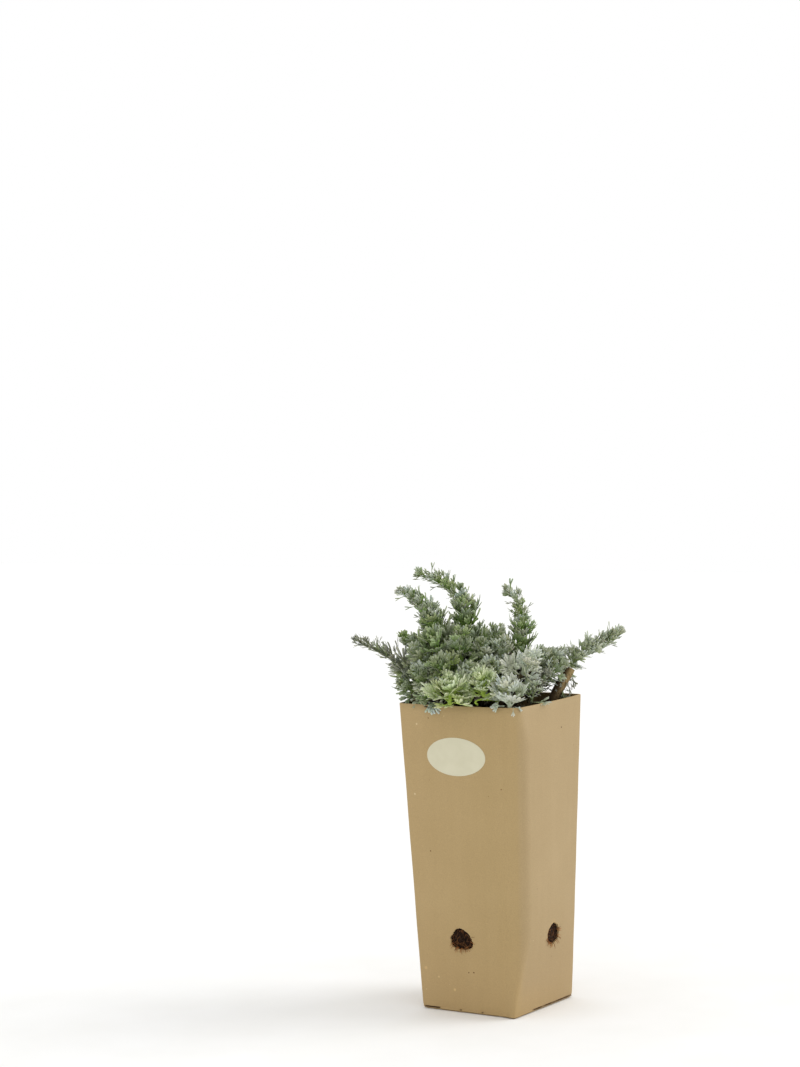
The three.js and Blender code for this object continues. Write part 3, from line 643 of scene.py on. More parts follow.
class Shape:
    """Points, faces and tints, gathered before they become one mesh"""

    def __init__(self):
        self.points = []
        self.tints = []
        self.quads = []
        self.triangles = []
        self.count = 0

    def add(self, points, quads=(), triangles=(), tint=(1, 1, 1)):
        points = np.asarray(points, float).reshape(-1, 3)
        self.points.append(points)
        self.tints.append(np.broadcast_to(np.asarray(tint, float), (len(points), 3)))
        self.quads.append(np.asarray(quads, int).reshape(-1, 4) + self.count)
        self.triangles.append(np.asarray(triangles, int).reshape(-1, 3) + self.count)
        self.count += len(points)

    def add_skin(self, rings, tint=(1, 1, 1), ends=None, inside_out=False):
        """A closed skin of rings, shut at both ends by fans round their middles or the given ends"""
        ends = [rings[0].mean(0), rings[-1].mean(0)] if ends is None else ends
        order = -1 if inside_out else 1
        size = (len(rings), len(rings[0]))
        self.add(np.vstack([*rings, *ends]), ring_quads(*size)[:, ::order], end_fans(*size)[:, ::order], tint)

    def to_mesh(self, name):
        points = np.vstack(self.points) * METRES
        faces = [*np.vstack(self.quads).tolist(), *np.vstack(self.triangles).tolist()]
        mesh = bpy.data.meshes.new(name)
        mesh.from_pydata(points.tolist(), [], faces)
        mesh.shade_smooth()
        tints = np.column_stack([np.vstack(self.tints), np.ones(len(points))])
        layer = mesh.attributes.new("tint", "FLOAT_COLOR", "POINT")
        layer.data.foreach_set("color", tints.astype(np.float32).ravel())
        return mesh


def add_piece(name, mesh, material, replaced=()):
    piece = linked(name, mesh)
    mesh.materials.clear()
    mesh.materials.append(material)
    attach(piece, "root")
    if replaced:
        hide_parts(*replaced)
    return piece


# Paths and tubes
def smooth_path(points, count):
    """Evenly spaced points on a smooth curve through the given ones"""
    points = np.asarray(points, float)
    padded = np.vstack([2 * points[0] - points[1], points, 2 * points[-1] - points[-2]])
    share = np.linspace(0, 1, PATH_FINENESS, endpoint=False)[:, None]
    fine = []
    for a, b, c, d in zip(padded, padded[1:], padded[2:], padded[3:]):
        bend = (2 * a - 5 * b + 4 * c - d) * share**2 + (3 * b - a - 3 * c + d) * share**3
        fine.append(0.5 * (2 * b + (c - a) * share + bend))
    fine = np.vstack([*fine, points[-1:]])
    steps = np.linalg.norm(np.diff(fine, axis=0), axis=1)
    run = np.concatenate([[0], np.cumsum(steps)])
    wanted = np.linspace(0, run[-1], count)
    return np.column_stack([np.interp(wanted, run, fine[:, k]) for k in range(3)])


def seen_path(points, count):
    return smooth_path([seen(point) for point in points], count)


def path_frames(path):
    """Tangents along a path, with two normals that turn as little as they can"""
    tangents = unit(np.gradient(path, axis=0))
    normal = np.array([1.0, 0, 0]) if abs(tangents[0][0]) < 0.8 else np.array([0, 1.0, 0])
    normals = []
    for tangent in tangents:
        normal = unit(normal - tangent * (normal @ tangent))
        normals.append(normal)
    normals = np.array(normals)
    return tangents, normals, np.cross(tangents, normals)


def outwards(frames, at, angle):
    """The direction at this angle round a path's point"""
    _, normals, binormals = frames
    return normals[at] * math.cos(angle) + binormals[at] * math.sin(angle)


def ridge_noise(path, angles):
    """Noise over a tube's skin, drawn out along its length as bark is"""
    run = np.concatenate([[0], np.cumsum(np.linalg.norm(np.diff(path, axis=0), axis=1))])
    ridges = np.zeros((len(run), len(angles)))
    for turns, size, share in BARK_RIDGES:
        for row, along in zip(ridges, run):
            places = [Vector((turns * math.cos(a), turns * math.sin(a), along / size)) for a in angles]
            row += [share * noise.noise(place) for place in places]
    return ridges


def add_tube(shape, path, radii, sides, tint, ridges=0.0):
    """A closed round tube along a path, with ridged skin where ridges is above 0"""
    path = np.asarray(path, float)
    _, normals, binormals = path_frames(path)
    angles = round_angles(sides)
    radii = np.broadcast_to(np.asarray(radii, float), len(path))[:, None]
    reach = radii * (1 + (ridges * ridge_noise(path, angles) if ridges else 0))
    reach = np.broadcast_to(reach, (len(path), sides))
    rings = path[:, None] + (reach * np.cos(angles))[..., None] * normals[:, None]
    rings = rings + (reach * np.sin(angles))[..., None] * binormals[:, None]
    shape.add_skin(rings, tint, [path[0], path[-1]])


# Materials
class Finish:
    """A material with one Principled surface, and short calls that add nodes to it"""

    def __init__(self, name, surface):
        self.material = bpy.data.materials.new(name)
        self.material.use_nodes = True
        self.nodes = self.material.node_tree.nodes
        self.links = self.material.node_tree.links
        self.surface = self.nodes["Principled BSDF"]
        for socket, value in surface.items():
            self.surface.inputs[socket].default_value = value
        self.place = self.nodes.new("ShaderNodeTexCoord").outputs["Object"]

    def put(self, target, value):
        """Links a socket to another, or sets it to a value or an sRGB hex string"""
        if isinstance(value, bpy.types.NodeSocket):
            self.links.new(value, target)
        elif isinstance(value, str):
            target.default_value = (*linear(value), 1)
        else:
            target.default_value = value

    def node(self, kind, output, inputs, **settings):
        node = self.nodes.new("ShaderNode" + kind)
        for name, value in settings.items():
            setattr(node, name, value)
        for socket, value in inputs.items():
            self.put(node.inputs[socket], value)
        return node.outputs[output]

    def stretched(self, scale):
        if scale is None:
            return self.place
        return self.node("Mapping", "Vector", {"Vector": self.place, "Scale": scale})

    def noise(self, size, detail=2.0, stretch=None, roughness=0.5):
        """Noise whose features are about this many millimetres across"""
        scale = 1 / (size * METRES)
        place = self.stretched(stretch)
        inputs = {"Vector": place, "Scale": scale, "Detail": detail, "Roughness": roughness}
        return self.node("TexNoise", "Fac", inputs)

    def remap(self, value, span, onto=(0, 1)):
        sockets = ["Value", "From Min", "From Max", "To Min", "To Max"]
        return self.node("MapRange", "Result", dict(zip(sockets, [value, *span, *onto])))

    def maths(self, operation, a, b=0.0):
        return self.node("Math", "Value", {0: a, 1: b}, operation=operation)

    def mix(self, factor, a, b, blend="MIX"):
        inputs = {"Factor": factor, "A": a, "B": b}
        return self.node("Mix", "Result", inputs, data_type="RGBA", blend_type=blend)

    def patches(self, colours, span=(0.3, 0.7), **look):
        """Patches of two colours, where look says how the noise between them looks"""
        return self.mix(self.remap(self.noise(**look), span), *colours)

    def flecks(self, colour, fleck, size, share, radius, stretch=None):
        """Small spots of another colour, in this share of cells of this size"""
        inputs = {"Vector": self.stretched(stretch), "Scale": 1 / (size * METRES)}
        distance = self.node("TexVoronoi", "Distance", inputs)
        chance = self.node("SeparateColor", "Red", {"Color": distance.node.outputs["Color"]})
        inside = self.maths("LESS_THAN", chance, share)
        spot = self.remap(distance, (radius * 0.6, radius), (1, 0))
        return self.mix(self.maths("MULTIPLY", inside, spot), colour, fleck)

    def speck(self, colour, axis, along, up, radius, fleck):
        """One spot of another colour, on both walls that run along this axis"""
        facing = [0, 0, 1]
        facing[axis] = 1
        place = [0, 0, up * METRES]
        place[axis] = along * METRES
        distance = self.node(
            "VectorMath", "Value", {0: self.stretched(facing), 1: place}, operation="DISTANCE",
        )
        spot = self.remap(distance, (radius * METRES * 0.6, radius * METRES), (1, 0))
        return self.mix(spot, colour, fleck)

    def height(self):
        return self.node("SeparateXYZ", "Z", {"Vector": self.place})

    def colour(self, value):
        """The surface's colour, times the tint of the mesh's points"""
        tint = self.node("Attribute", "Color", {}, attribute_name="tint")
        self.put(self.surface.inputs["Base Color"], self.mix(1.0, value, tint, "MULTIPLY"))

    def bump(self, height, depth):
        """Relief this many millimetres deep"""
        inputs = {"Strength": 1.0, "Distance": depth * METRES, "Height": height}
        self.put(self.surface.inputs["Normal"], self.node("Bump", "Normal", inputs))


def plain_finish(name):
    row = FINISHES[name]
    finish = Finish(name, row["surface"])
    colour = finish.patches(row["colours"], **row["patches"])
    if "flecks" in row:
        colour = finish.flecks(colour, **row["flecks"])
    finish.colour(colour)
    if "relief" in row:
        finish.bump(finish.noise(**row["relief"]), row["depth"])
    return finish.material


def board_finish():
    """Solid board: clouds, upright bands, a darker foot, grain, flecks and fibres"""
    finish = Finish("board", {"Roughness": 0.82, "Specular IOR Level": 0.25})
    colour = finish.patches(("b0976c", "b49b70"), size=38, detail=3)
    bands = finish.noise(size=7, stretch=(1, 1, 0.03))
    colour = finish.mix(finish.remap(bands, (0.35, 0.68), (0, 0.2)), colour, "a78f62")
    colour = finish.mix(finish.remap(finish.height(), (0.07, 0), (0, 0.4)), colour, "a98c61")
    grain = finish.noise(size=0.7, detail=3, roughness=0.7)
    colour = finish.mix(1.0, colour, finish.remap(grain, (0.25, 0.75), (0.9, 1.08)), "MULTIPLY")
    colour = finish.flecks(colour, "8a6c44", size=5.5, share=0.13, radius=0.06, stretch=(1, 1, 0.7))
    colour = finish.flecks(colour, "c7b187", size=8, share=0.3, radius=0.055, stretch=(1, 1, 0.7))
    for speck in SPECKS:
        colour = finish.speck(colour, *speck)
    finish.colour(colour)
    finish.bump(finish.noise(size=0.55, detail=4, stretch=(1, 1, 0.5), roughness=0.65), depth=0.05)
    return finish.material


def leaf_finish(name):
    """Felted leaf: the tint of each leaf, mottled by its hairs"""
    finish = Finish(name, LEAF_SURFACE)
    felt = finish.noise(size=0.45, detail=3, roughness=0.7)
    finish.colour(finish.remap(felt, (0.3, 0.7), (0.86, 1.12)))
    finish.bump(finish.noise(size=0.3, detail=3, roughness=0.7), depth=0.1)
    return finish.material


# Pot
def half_side(z):
    return lerp(BASE_SIDE, RIM_SIDE, z / POT_HEIGHT) / 2


def bulge_share(across):
    return np.maximum(0, 1 - across**2) ** 2


def front_bow(z):
    rise = smoothstep(z, 0, BOW_FULL_FROM)
    upper = lerp(1, BOW_SHARE_AT_RIM, smoothstep(z, BOW_EASES_FROM, POT_HEIGHT))
    return lerp(BOW_SHARE_AT_BASE, upper, rise)


def pot_corners(z):
    """Corner places and the radii of their rounding"""
    half = half_side(z)
    bow = front_bow(z)
    front_radius = lerp(FRONT_RADIUS, RIM_FRONT_RADIUS, smoothstep(z, RIM_RADIUS_FROM, POT_HEIGHT))
    places = [
        (-half, -half),
        (half - CREASE, -half),
        (half + FRONT_BOW[0] * bow, -half + FRONT_BOW[1] * bow),
        (half, half),
        (-half, half),
    ]
    radii = [FOLD_RADIUS, CREASE_RADIUS, front_radius, FOLD_RADIUS, FOLD_RADIUS]
    return np.array(places), radii


def inset_corners(places, inset):
    """Moves every side inwards, so that its corners slide along their mitres"""
    sides = np.roll(places, -1, axis=0) - places
    inwards = unit(np.column_stack([-sides[:, 1], sides[:, 0]]))
    before = np.roll(inwards, 1, axis=0)
    reach = inset / (1 + (before * inwards).sum(1, keepdims=True))
    return places + (before + inwards) * reach


def pot_section(z, inset=0.0):
    """The pot's outline at a height, rounded at its folds and bulged between them"""
    places, radii = pot_corners(z)
    places = inset_corners(places, inset)
    to_next = np.roll(places, -1, axis=0) - places
    lengths = np.linalg.norm(to_next, axis=1)
    entries = []
    for i, radius in enumerate(radii):
        reach = min(radius, lengths[i - 1] * LONGEST_ROUNDING, lengths[i] * LONGEST_ROUNDING)
        start = places[i] - to_next[i - 1] / lengths[i - 1] * reach
        end = places[i] + to_next[i] / lengths[i] * reach
        entries.append((start, end))
    points = []
    for i, (start, end) in enumerate(entries):
        t = np.linspace(0, 1, ARC_STEPS[i] + 1)[:, None]
        points.append((1 - t) ** 2 * start + 2 * t * (1 - t) * places[i] + t**2 * end)
        following = entries[(i + 1) % len(entries)][0]
        t = np.linspace(0, 1, EDGE_STEPS[i] + 1)[1:-1, None]
        points.append(end * (1 - t) + following * t)
    outline = np.vstack(points)
    across = outline / half_side(z)
    bulge = FACE_BULGE * smoothstep(z, 0, BULGE_FULL_AT)
    on_y_side = np.abs(across[:, 1]) > np.abs(across[:, 0])
    push_y = np.where(on_y_side, np.sign(across[:, 1]) * bulge * bulge_share(across[:, 0]), 0)
    push_x = np.where(on_y_side, 0, np.sign(across[:, 0]) * bulge * bulge_share(across[:, 1]))
    return outline + np.column_stack([push_x, push_y])


def section_at(z, inset=0.0):
    outline = pot_section(z, inset)
    return np.column_stack([outline, np.full(len(outline), z)])


def worn_ring(ring):
    """Adds the slight waviness of soft board and the pressed crease beside the front fold"""
    outside = unit(ring[:, :2] - ring[:, :2].mean(0))
    waves = np.array([noise.noise(Vector(point / WAVE_SIZE)) for point in ring])
    near_crease = (np.abs(ring[:, 0] - (half_side(ring[0, 2]) - CREASE)) / CREASE_WIDTH) ** 2
    on_front = ring[:, 1] < -BASE_SIDE / 4
    crease = CREASE_DEPTH * np.exp(-near_crease) * on_front
    ring = ring.copy()
    ring[:, :2] += outside * (WAVE_DEPTH * waves - crease)[:, None]
    return ring


def seam_share(ring):
    """1 where the slit above the folded bottom gapes, 0 where it is shut"""
    x, y, _ = ring.T
    half = half_side(0)
    gapes = (x > half - RIGHT_WALL_DEPTH) & (y > -half + FRONT_BOW[1])
    for low, high in SEAM_MARKS:
        gapes |= (y < -half + FRONT_WALL_DEPTH) & (x > low) & (x < high)
    waves = np.array([noise.noise(Vector(point / SEAM_WAVE_SIZE)) for point in ring])
    return np.where(gapes, SEAM_GAPE + SEAM_UNEVENNESS * waves, 0)


def wall_painted_light_and_shade(ring):
    """Painted light and shade of the walls: the +X wall paler and greyer as painted light, and the -Y wall
    darker towards the front fold as painted shade
    """
    x, y, _ = ring.T
    half = half_side(ring[0, 2])
    low, high = RIGHT_WALL_PAINTED_LIGHT_BLENDS
    # Painted light on the +X wall
    painted_light_on_right = smoothstep(x, half + low, half + high) * smoothstep(y, -half, -half + FOLD_BLEND)
    # Painted shade across the -Y wall, darkest at the front fold
    painted_shade_near_fold = smoothstep(x, -half, half) * (y < 0) * (1 - painted_light_on_right)
    tint = lerp(np.ones(3), np.array(FOLD_PAINTED_SHADE), painted_shade_near_fold[:, None])
    return lerp(tint, np.array(RIGHT_WALL_PAINTED_LIGHT), painted_light_on_right[:, None])


def outer_rings():
    """Rings and tints of the pot's outer skin, from the bottom to the rim"""
    rings = [section_at(BASE_EDGE_RADIUS * height, BASE_EDGE_RADIUS * inset) for height, inset in BASE_EDGE]
    tints = [wall_painted_light_and_shade(ring) for ring in rings]
    for z, share in SEAM_HEIGHTS:
        ring = section_at(z, BASE_EDGE_RADIUS * SEAM_INSET)
        gape = (seam_share(ring) * share)[:, None]
        ring[:, :2] -= unit(ring[:, :2]) * gape * SEAM_DEPTH
        rings.append(ring)
        # Painted shade darkens the slit where it gapes
        tints.append(lerp(wall_painted_light_and_shade(ring), np.array(SEAM_PAINTED_SHADE), np.clip(gape * SEAM_SHADING, 0, 1)))
    for z in [*np.arange(WALL_FOOT, POT_HEIGHT - 1, WALL_STEP), POT_HEIGHT - RIM_ROUNDING]:
        ring = section_at(z)
        rings.append(worn_ring(ring))
        tints.append(wall_painted_light_and_shade(ring))
    return rings, tints


def inner_rings():
    """Rings and tints of the rim and the pot's inside, from the rim to the bottom"""
    rim = [worn_ring(section_at(POT_HEIGHT, RIM_ROUNDING)), section_at(POT_HEIGHT, BOARD - RIM_ROUNDING)]
    heights = [POT_HEIGHT - RIM_ROUNDING, *np.arange(POT_HEIGHT - 1, BASE_BOARD, -WALL_STEP * 2), BASE_BOARD]
    inside = [section_at(z, BOARD) for z in heights]
    columns = len(rim[0])
    # The inside walls and the bottom's middle are darkened as painted shade; the cut rim is lighter
    tints = [np.tile(RIM_TINT, (columns, 1))] * len(rim) + [np.tile(INSIDE_PAINTED_SHADE, (columns, 1))] * len(inside)
    return rim + inside, tints


def wall_turn(turn):
    """Turns row vectors from the -Y wall to the wall at this angle"""
    cos, sin = math.cos(math.radians(turn)), math.sin(math.radians(turn))
    return np.array([[cos, sin, 0], [-sin, cos, 0], [0, 0, 1]])


def wall_at(turn, across, z):
    """The outer y of a wall that has been turned to face -Y"""
    outline = section_at(z) @ wall_turn(turn).T
    near = outline[outline[:, 1] < -BASE_SIDE / 4]
    near = near[np.argsort(near[:, 0])]
    return np.interp(across, near[:, 0], near[:, 1])


def drain_prism(turn, across, roundness):
    """A prism with the drain hole's torn outline, through one wall only"""
    outline = np.array(DRAIN_OUTLINE)
    outline = lerp(outline, unit(outline) * DRAIN_OVAL, roundness) * (DRAIN_WIDTH, DRAIN_RISE)
    closed = np.vstack([outline, outline[:1]])
    fine = smooth_path(np.column_stack([closed, np.zeros(len(closed))]), DRAIN_POINTS + 1)[:-1, :2]
    fine = fine + random.normal(0, DRAIN_RAGGEDNESS, fine.shape) + (across, DRAIN_HEIGHT)
    wall = -half_side(DRAIN_HEIGHT)
    rings = []
    for y in (wall - DRAIN_CUT / 2, wall + DRAIN_CUT / 2):
        ring = np.column_stack([fine[:, 0], np.full(len(fine), y), fine[:, 1]])
        rings.append(ring @ wall_turn(turn))
    shape = Shape()
    shape.add_skin(rings, inside_out=True)
    return shape


def subtracted(mesh, cutters):
    """The mesh with the cutters taken out of it"""
    body = linked("uncut", mesh)
    tools = [linked("cutter", cutter) for cutter in cutters]
    for tool in tools:
        modifier = body.modifiers.new("cut", "BOOLEAN")
        modifier.operation = "DIFFERENCE"
        modifier.solver = "EXACT"
        modifier.object = tool
    graph = bpy.context.evaluated_depsgraph_get()
    result = bpy.data.meshes.new_from_object(body.evaluated_get(graph))
    for thing in [body, *tools]:
        bpy.data.objects.remove(thing)
    return result


def make_pot(material):
    reseed("pot")
    outer, outer_tints = outer_rings()
    inner, inner_tints = inner_rings()
    shape = Shape()
    shape.add_skin(outer + inner, np.vstack([*outer_tints, *inner_tints, np.ones(3), INSIDE_PAINTED_SHADE]))
    cutters = [drain_prism(*row).to_mesh("drain") for row in DRAINS]
    mesh = subtracted(shape.to_mesh("pot_board"), cutters)
    mesh.set_sharp_from_angle(angle=math.radians(POT_SHARP_ANGLE))
    return add_piece("board_pot", mesh, material, ["pot"])


def make_label(material, pot):
    """A thin oval of paper that lies on the wall"""
    wall = BVHTree.FromPolygons(
        [vertex.co / METRES for vertex in pot.data.vertices], [face.vertices for face in pot.data.polygons],
    )

    def wall_y(x, z):
        return wall.ray_cast(Vector((x, -RIM_SIDE, z)), Vector((0, 1, 0)))[0].y

    angles = round_angles(LABEL_SIDES)
    profile = [((row + 1) / LABEL_ROWS, LABEL_THICKNESS) for row in range(LABEL_ROWS)]
    profile += [(share, 0) for share in LABEL_BACK]
    rings = []
    for share, lift in profile:
        x = LABEL_CENTRE[0] + np.cos(angles) * LABEL_SIZE[0] / 2 * share
        z = LABEL_CENTRE[1] + np.sin(angles) * LABEL_SIZE[1] / 2 * share
        y = np.array([wall_y(*place) for place in zip(x, z)]) - LABEL_LIFT - lift
        rings.append(np.column_stack([x, y, z]))
    shape = Shape()
    shape.add_skin(rings)
    mesh = shape.to_mesh("label_oval")
    mesh.set_sharp_from_angle(angle=math.radians(LABEL_SHARP_ANGLE))
    add_piece("paper_label", mesh, material, ["label"])


# Soil
def soil_lift(x, y):
    """Height of the soil's rough surface over its level at the wall"""
    crown = SOIL_CROWN * max(0.0, 1 - math.hypot(x, y) / SOIL_CROWN_REACH)
    return crown + sum(depth * noise.noise(Vector((x, y, 0)) / size) for depth, size in SOIL_LUMPS)


def make_soil(material):
    reseed("soil")
    inset = BOARD + CLEARANCE
    heights = np.linspace(BASE_BOARD + CLEARANCE, SOIL_TOP - SOIL_EDGE_DROP, SOIL_SIDE_RINGS)
    rings = [section_at(z, inset) for z in heights]
    for share in np.linspace(1, SOIL_MIDDLE, SOIL_TOP_RINGS):
        ring = section_at(SOIL_TOP, inset)
        ring[:, :2] *= share
        ring[:, 2] += [soil_lift(x, y) for x, y in ring[:, :2]]
        rings.append(ring)
    columns = len(rings[0])
    tints = np.ones((len(rings) * columns + 2, 3))
    tints[:SOIL_SIDE_RINGS * columns] = SOIL_SIDE_TINT
    shape = Shape()
    shape.add_skin(rings, tints)
    for _ in range(CRUMBS):
        x, y = random.uniform(-CRUMB_SPREAD, CRUMB_SPREAD, 2) * (half_side(SOIL_TOP) - inset)
        add_crumb(shape, (x, y, SOIL_TOP + soil_lift(x, y)), draw(CRUMB_SIZES))
    add_piece("potting_soil", shape.to_mesh("potting_soil"), material, ["soil"])


def add_crumb(shape, place, size):
    """An irregular lump of bark or soil"""
    points = []
    for height, width in CRUMB_PROFILE:
        angles = round_angles(CRUMB_SIDES) + random.uniform(0, 1)
        reach = width * random.uniform(*CRUMB_EDGES, CRUMB_SIDES)
        points += zip(reach * np.cos(angles), reach * np.sin(angles), [height] * CRUMB_SIDES)
    points = np.array([*points, (0, 0, -1), (0, 0, 1)]) * size * random.uniform(*CRUMB_STRETCHES, 3)
    turn = np.array(Matrix.Rotation(draw(CRUMB_TURNS), 3, Vector(random.normal(0, 1, 3))))
    points = points @ turn.T + place
    rings = points[:-2].reshape(-1, CRUMB_SIDES, 3)
    shape.add_skin(rings, draw(CRUMB_SHADES), points[-2:])


def make_drain_roots(material):
    """Fine brown roots that fill each drain hole and curl out over its torn edge"""
    reseed("drain_roots")
    shape = Shape()
    size = np.array([DRAIN_WIDTH, 0, DRAIN_RISE])
    low = (*-ROOT_LIMIT * size[:1], ROOT_DEPTHS[0], *-ROOT_LIMIT * size[2:])
    high = (*ROOT_LIMIT * size[:1], ROOT_DEPTHS[1], *ROOT_LIMIT * size[2:])
    for turn, across, _ in DRAINS:
        spin = wall_turn(turn)
        centre = np.array([across, wall_at(turn, across, DRAIN_HEIGHT), DRAIN_HEIGHT])
        for _ in range(ROOTS):
            spot = random.uniform(-ROOT_SPREAD, ROOT_SPREAD, 2)
            start = size * (spot[0], 0, spot[1]) + (0, ROOT_DEPTH, 0)
            wander = random.normal(0, 1, (ROOT_TURNS, 3)) * ROOT_WANDER
            path = centre + np.clip(start + np.cumsum(wander, axis=0) - wander[0], low, high)
            path = smooth_path(path, ROOT_STEPS) @ spin
            # random tone, and painted shade inside the hole
            tint = draw(ROOT_TONES_AND_PAINTED_SHADE) ** 2
            add_tube(shape, path, draw(ROOT_RADII), ROOT_SIDES, tint)
        for _ in range(CURLS):
            bearing = draw(CURL_BEARINGS)
            heading = np.array([math.cos(bearing), 0, math.sin(bearing)])
            out = heading * draw(CURL_REACHES)
            start = centre + heading * size * CURL_FOOT + (0, CURL_DEPTH, 0)
            end = start + out + CURL_END + (0, draw(CURL_LIFTS), 0)
            path = smooth_path([start, start + out / 2 + CURL_MIDDLE, end], CURL_STEPS)
            radii = np.linspace(*CURL_RADII, CURL_STEPS)
            # the curls take painted light
            add_tube(shape, path @ spin, radii, ROOT_SIDES, draw(CURL_PAINTED_LIGHT))
    add_piece("drain_roots", shape.to_mesh("drain_roots"), material)


# Leaves
def add_strip(shape, start, direction, length, half_width, profile, sweep=0, rise=0, pointed=False):
    """A ribbon of lens section in the leaf's plane, bending sideways by sweep and upwards by rise"""
    shares = np.array([share for share, _ in profile])
    widths = np.array([width for _, width in profile]) * half_width
    turn = direction + sweep * shares
    steps = np.diff(shares, prepend=0) * length
    along = np.column_stack([np.sin(turn), np.cos(turn)])
    places = np.asarray(start)[:2] + np.cumsum(along * steps[:, None], axis=0)
    heights = start[2] + rise * length * shares**2
    across = np.column_stack([np.cos(turn), -np.sin(turn)])
    rings = []
    for place, height, side, width in zip(places, heights, across, widths):
        flat = place + np.outer(LENS[:, 0] * width, side)
        rings.append(np.column_stack([flat, height + LENS[:, 1] * HALF_DEPTH * width]))
    tip = places[-1] + (along[-1] * length * (1 - shares[-1]) if pointed else 0)
    ends = [(*places[0], heights[0]), (*tip, heights[-1])]
    reach = np.linalg.norm(np.vstack([*rings, *ends])[:, :2], axis=1)
    shape.add_skin(rings, reach[:, None], ends)
    return ends[1]


def fan_share(i, count):
    """Where one of a fan stands, from -1 to 1"""
    return 0 if count == 1 else 2 * i / (count - 1) - 1


def leaf_template(segments, lobes, spread, lobe_width):
    """A palmate leaf of unit length: a stalk, segments that fan out of it, and lobes at their ends"""
    shape = Shape()
    palm = draw(STALK_LENGTHS)
    stalk_end = add_strip(shape, (0, 0, 0), 0, palm, STALK_WIDTH, STALK_PROFILE)
    for i in range(segments):
        side = fan_share(i, segments)
        angle = side * spread + random.normal(0, SEGMENT_JITTER)
        room = (1 - palm) * (1 - SEGMENT_SHORTENING * abs(side)) * draw(SEGMENT_LENGTHS)
        fork = room * draw(FORK_LENGTHS)
        lift = SEGMENT_RISE * abs(side) + draw(SEGMENT_LIFTS)
        fork_width = lobe_width * (FORK_WIDTH + FORK_WIDTH_PER_LOBE * (lobes - 1))
        fork_end = add_strip(shape, stalk_end, angle, fork, fork_width, WEDGE_PROFILE, rise=lift)
        for j in range(lobes):
            turn = fan_share(j, lobes)
            lobe_angle = angle + turn * draw(LOBE_TURNS)
            length = (room - fork) * (1 - LOBE_SHORTENING * abs(turn)) * draw(LOBE_LENGTHS)
            width = lobe_width * draw(LOBE_WIDTHS)
            sweep = -turn * draw(LOBE_SWEEPS)
            rise = draw(LOBE_RISES)
            add_strip(shape, fork_end, lobe_angle, length, width, LOBE_PROFILE, sweep, rise, True)
    reach = np.clip(np.vstack(shape.tints)[:, 0], 0, 1)
    return np.vstack(shape.points), np.vstack(shape.quads), np.vstack(shape.triangles), reach


LEAVES = {
    kind: [leaf_template(*sizes) for _ in range(TEMPLATES_OF_A_KIND)]
    for kind, sizes in LEAF_KINDS.items()
}


def add_leaf(
    shape, kind, root, axis, outward, pitch, length, tone, curl=None, roll=None, seeking=LIGHT_SEEKING,
):
    """Places a bent copy of a leaf so that it leaves its stem at root and turns a little to the light"""
    points, quads, triangles, reach = pick(LEAVES[kind])
    curl = draw(LEAF_CURLS) if curl is None else curl
    roll = random.normal(0, LEAF_ROLL) if roll is None else roll
    cup = draw(LEAF_CUPS)
    along = unit(axis * math.cos(pitch) + outward * math.sin(pitch) + UP * seeking)
    length = length * (1 + seeking * along[2])
    if seeking > 0:
        along = unit(np.array([along[0], along[1], max(along[2], LOWEST_SLOPE)]))
    across = unit(np.cross(along, axis * math.sin(pitch) - outward * math.cos(pitch)))
    upper = np.cross(across, along)
    upper, across = (
        upper * math.cos(roll) + across * math.sin(roll),
        across * math.cos(roll) - upper * math.sin(roll),
    )
    x, y, z = (points * length).T
    turn = curl * y / length
    lift = y * np.sin(turn / 2) + cup * x**2 / length + z
    placed = root + np.outer(x, across) + np.outer(y * np.cos(turn / 2), along) + np.outer(lift, upper)
    foot, tip = (linear(colour) for colour in TONES[tone])
    share = smoothstep(reach, *TONE_BLEND)[:, None]
    warmth = 1 + random.normal(0, LEAF_WARMTH) * np.array([1, 0, -1])
    tint = lerp(foot, tip, share) * draw(LEAF_SHADES) * warmth
    shape.add(placed, quads, triangles, tint)


def stem_tint(tone):
    return linear(TONES[tone][0]) * STEM_SHADE


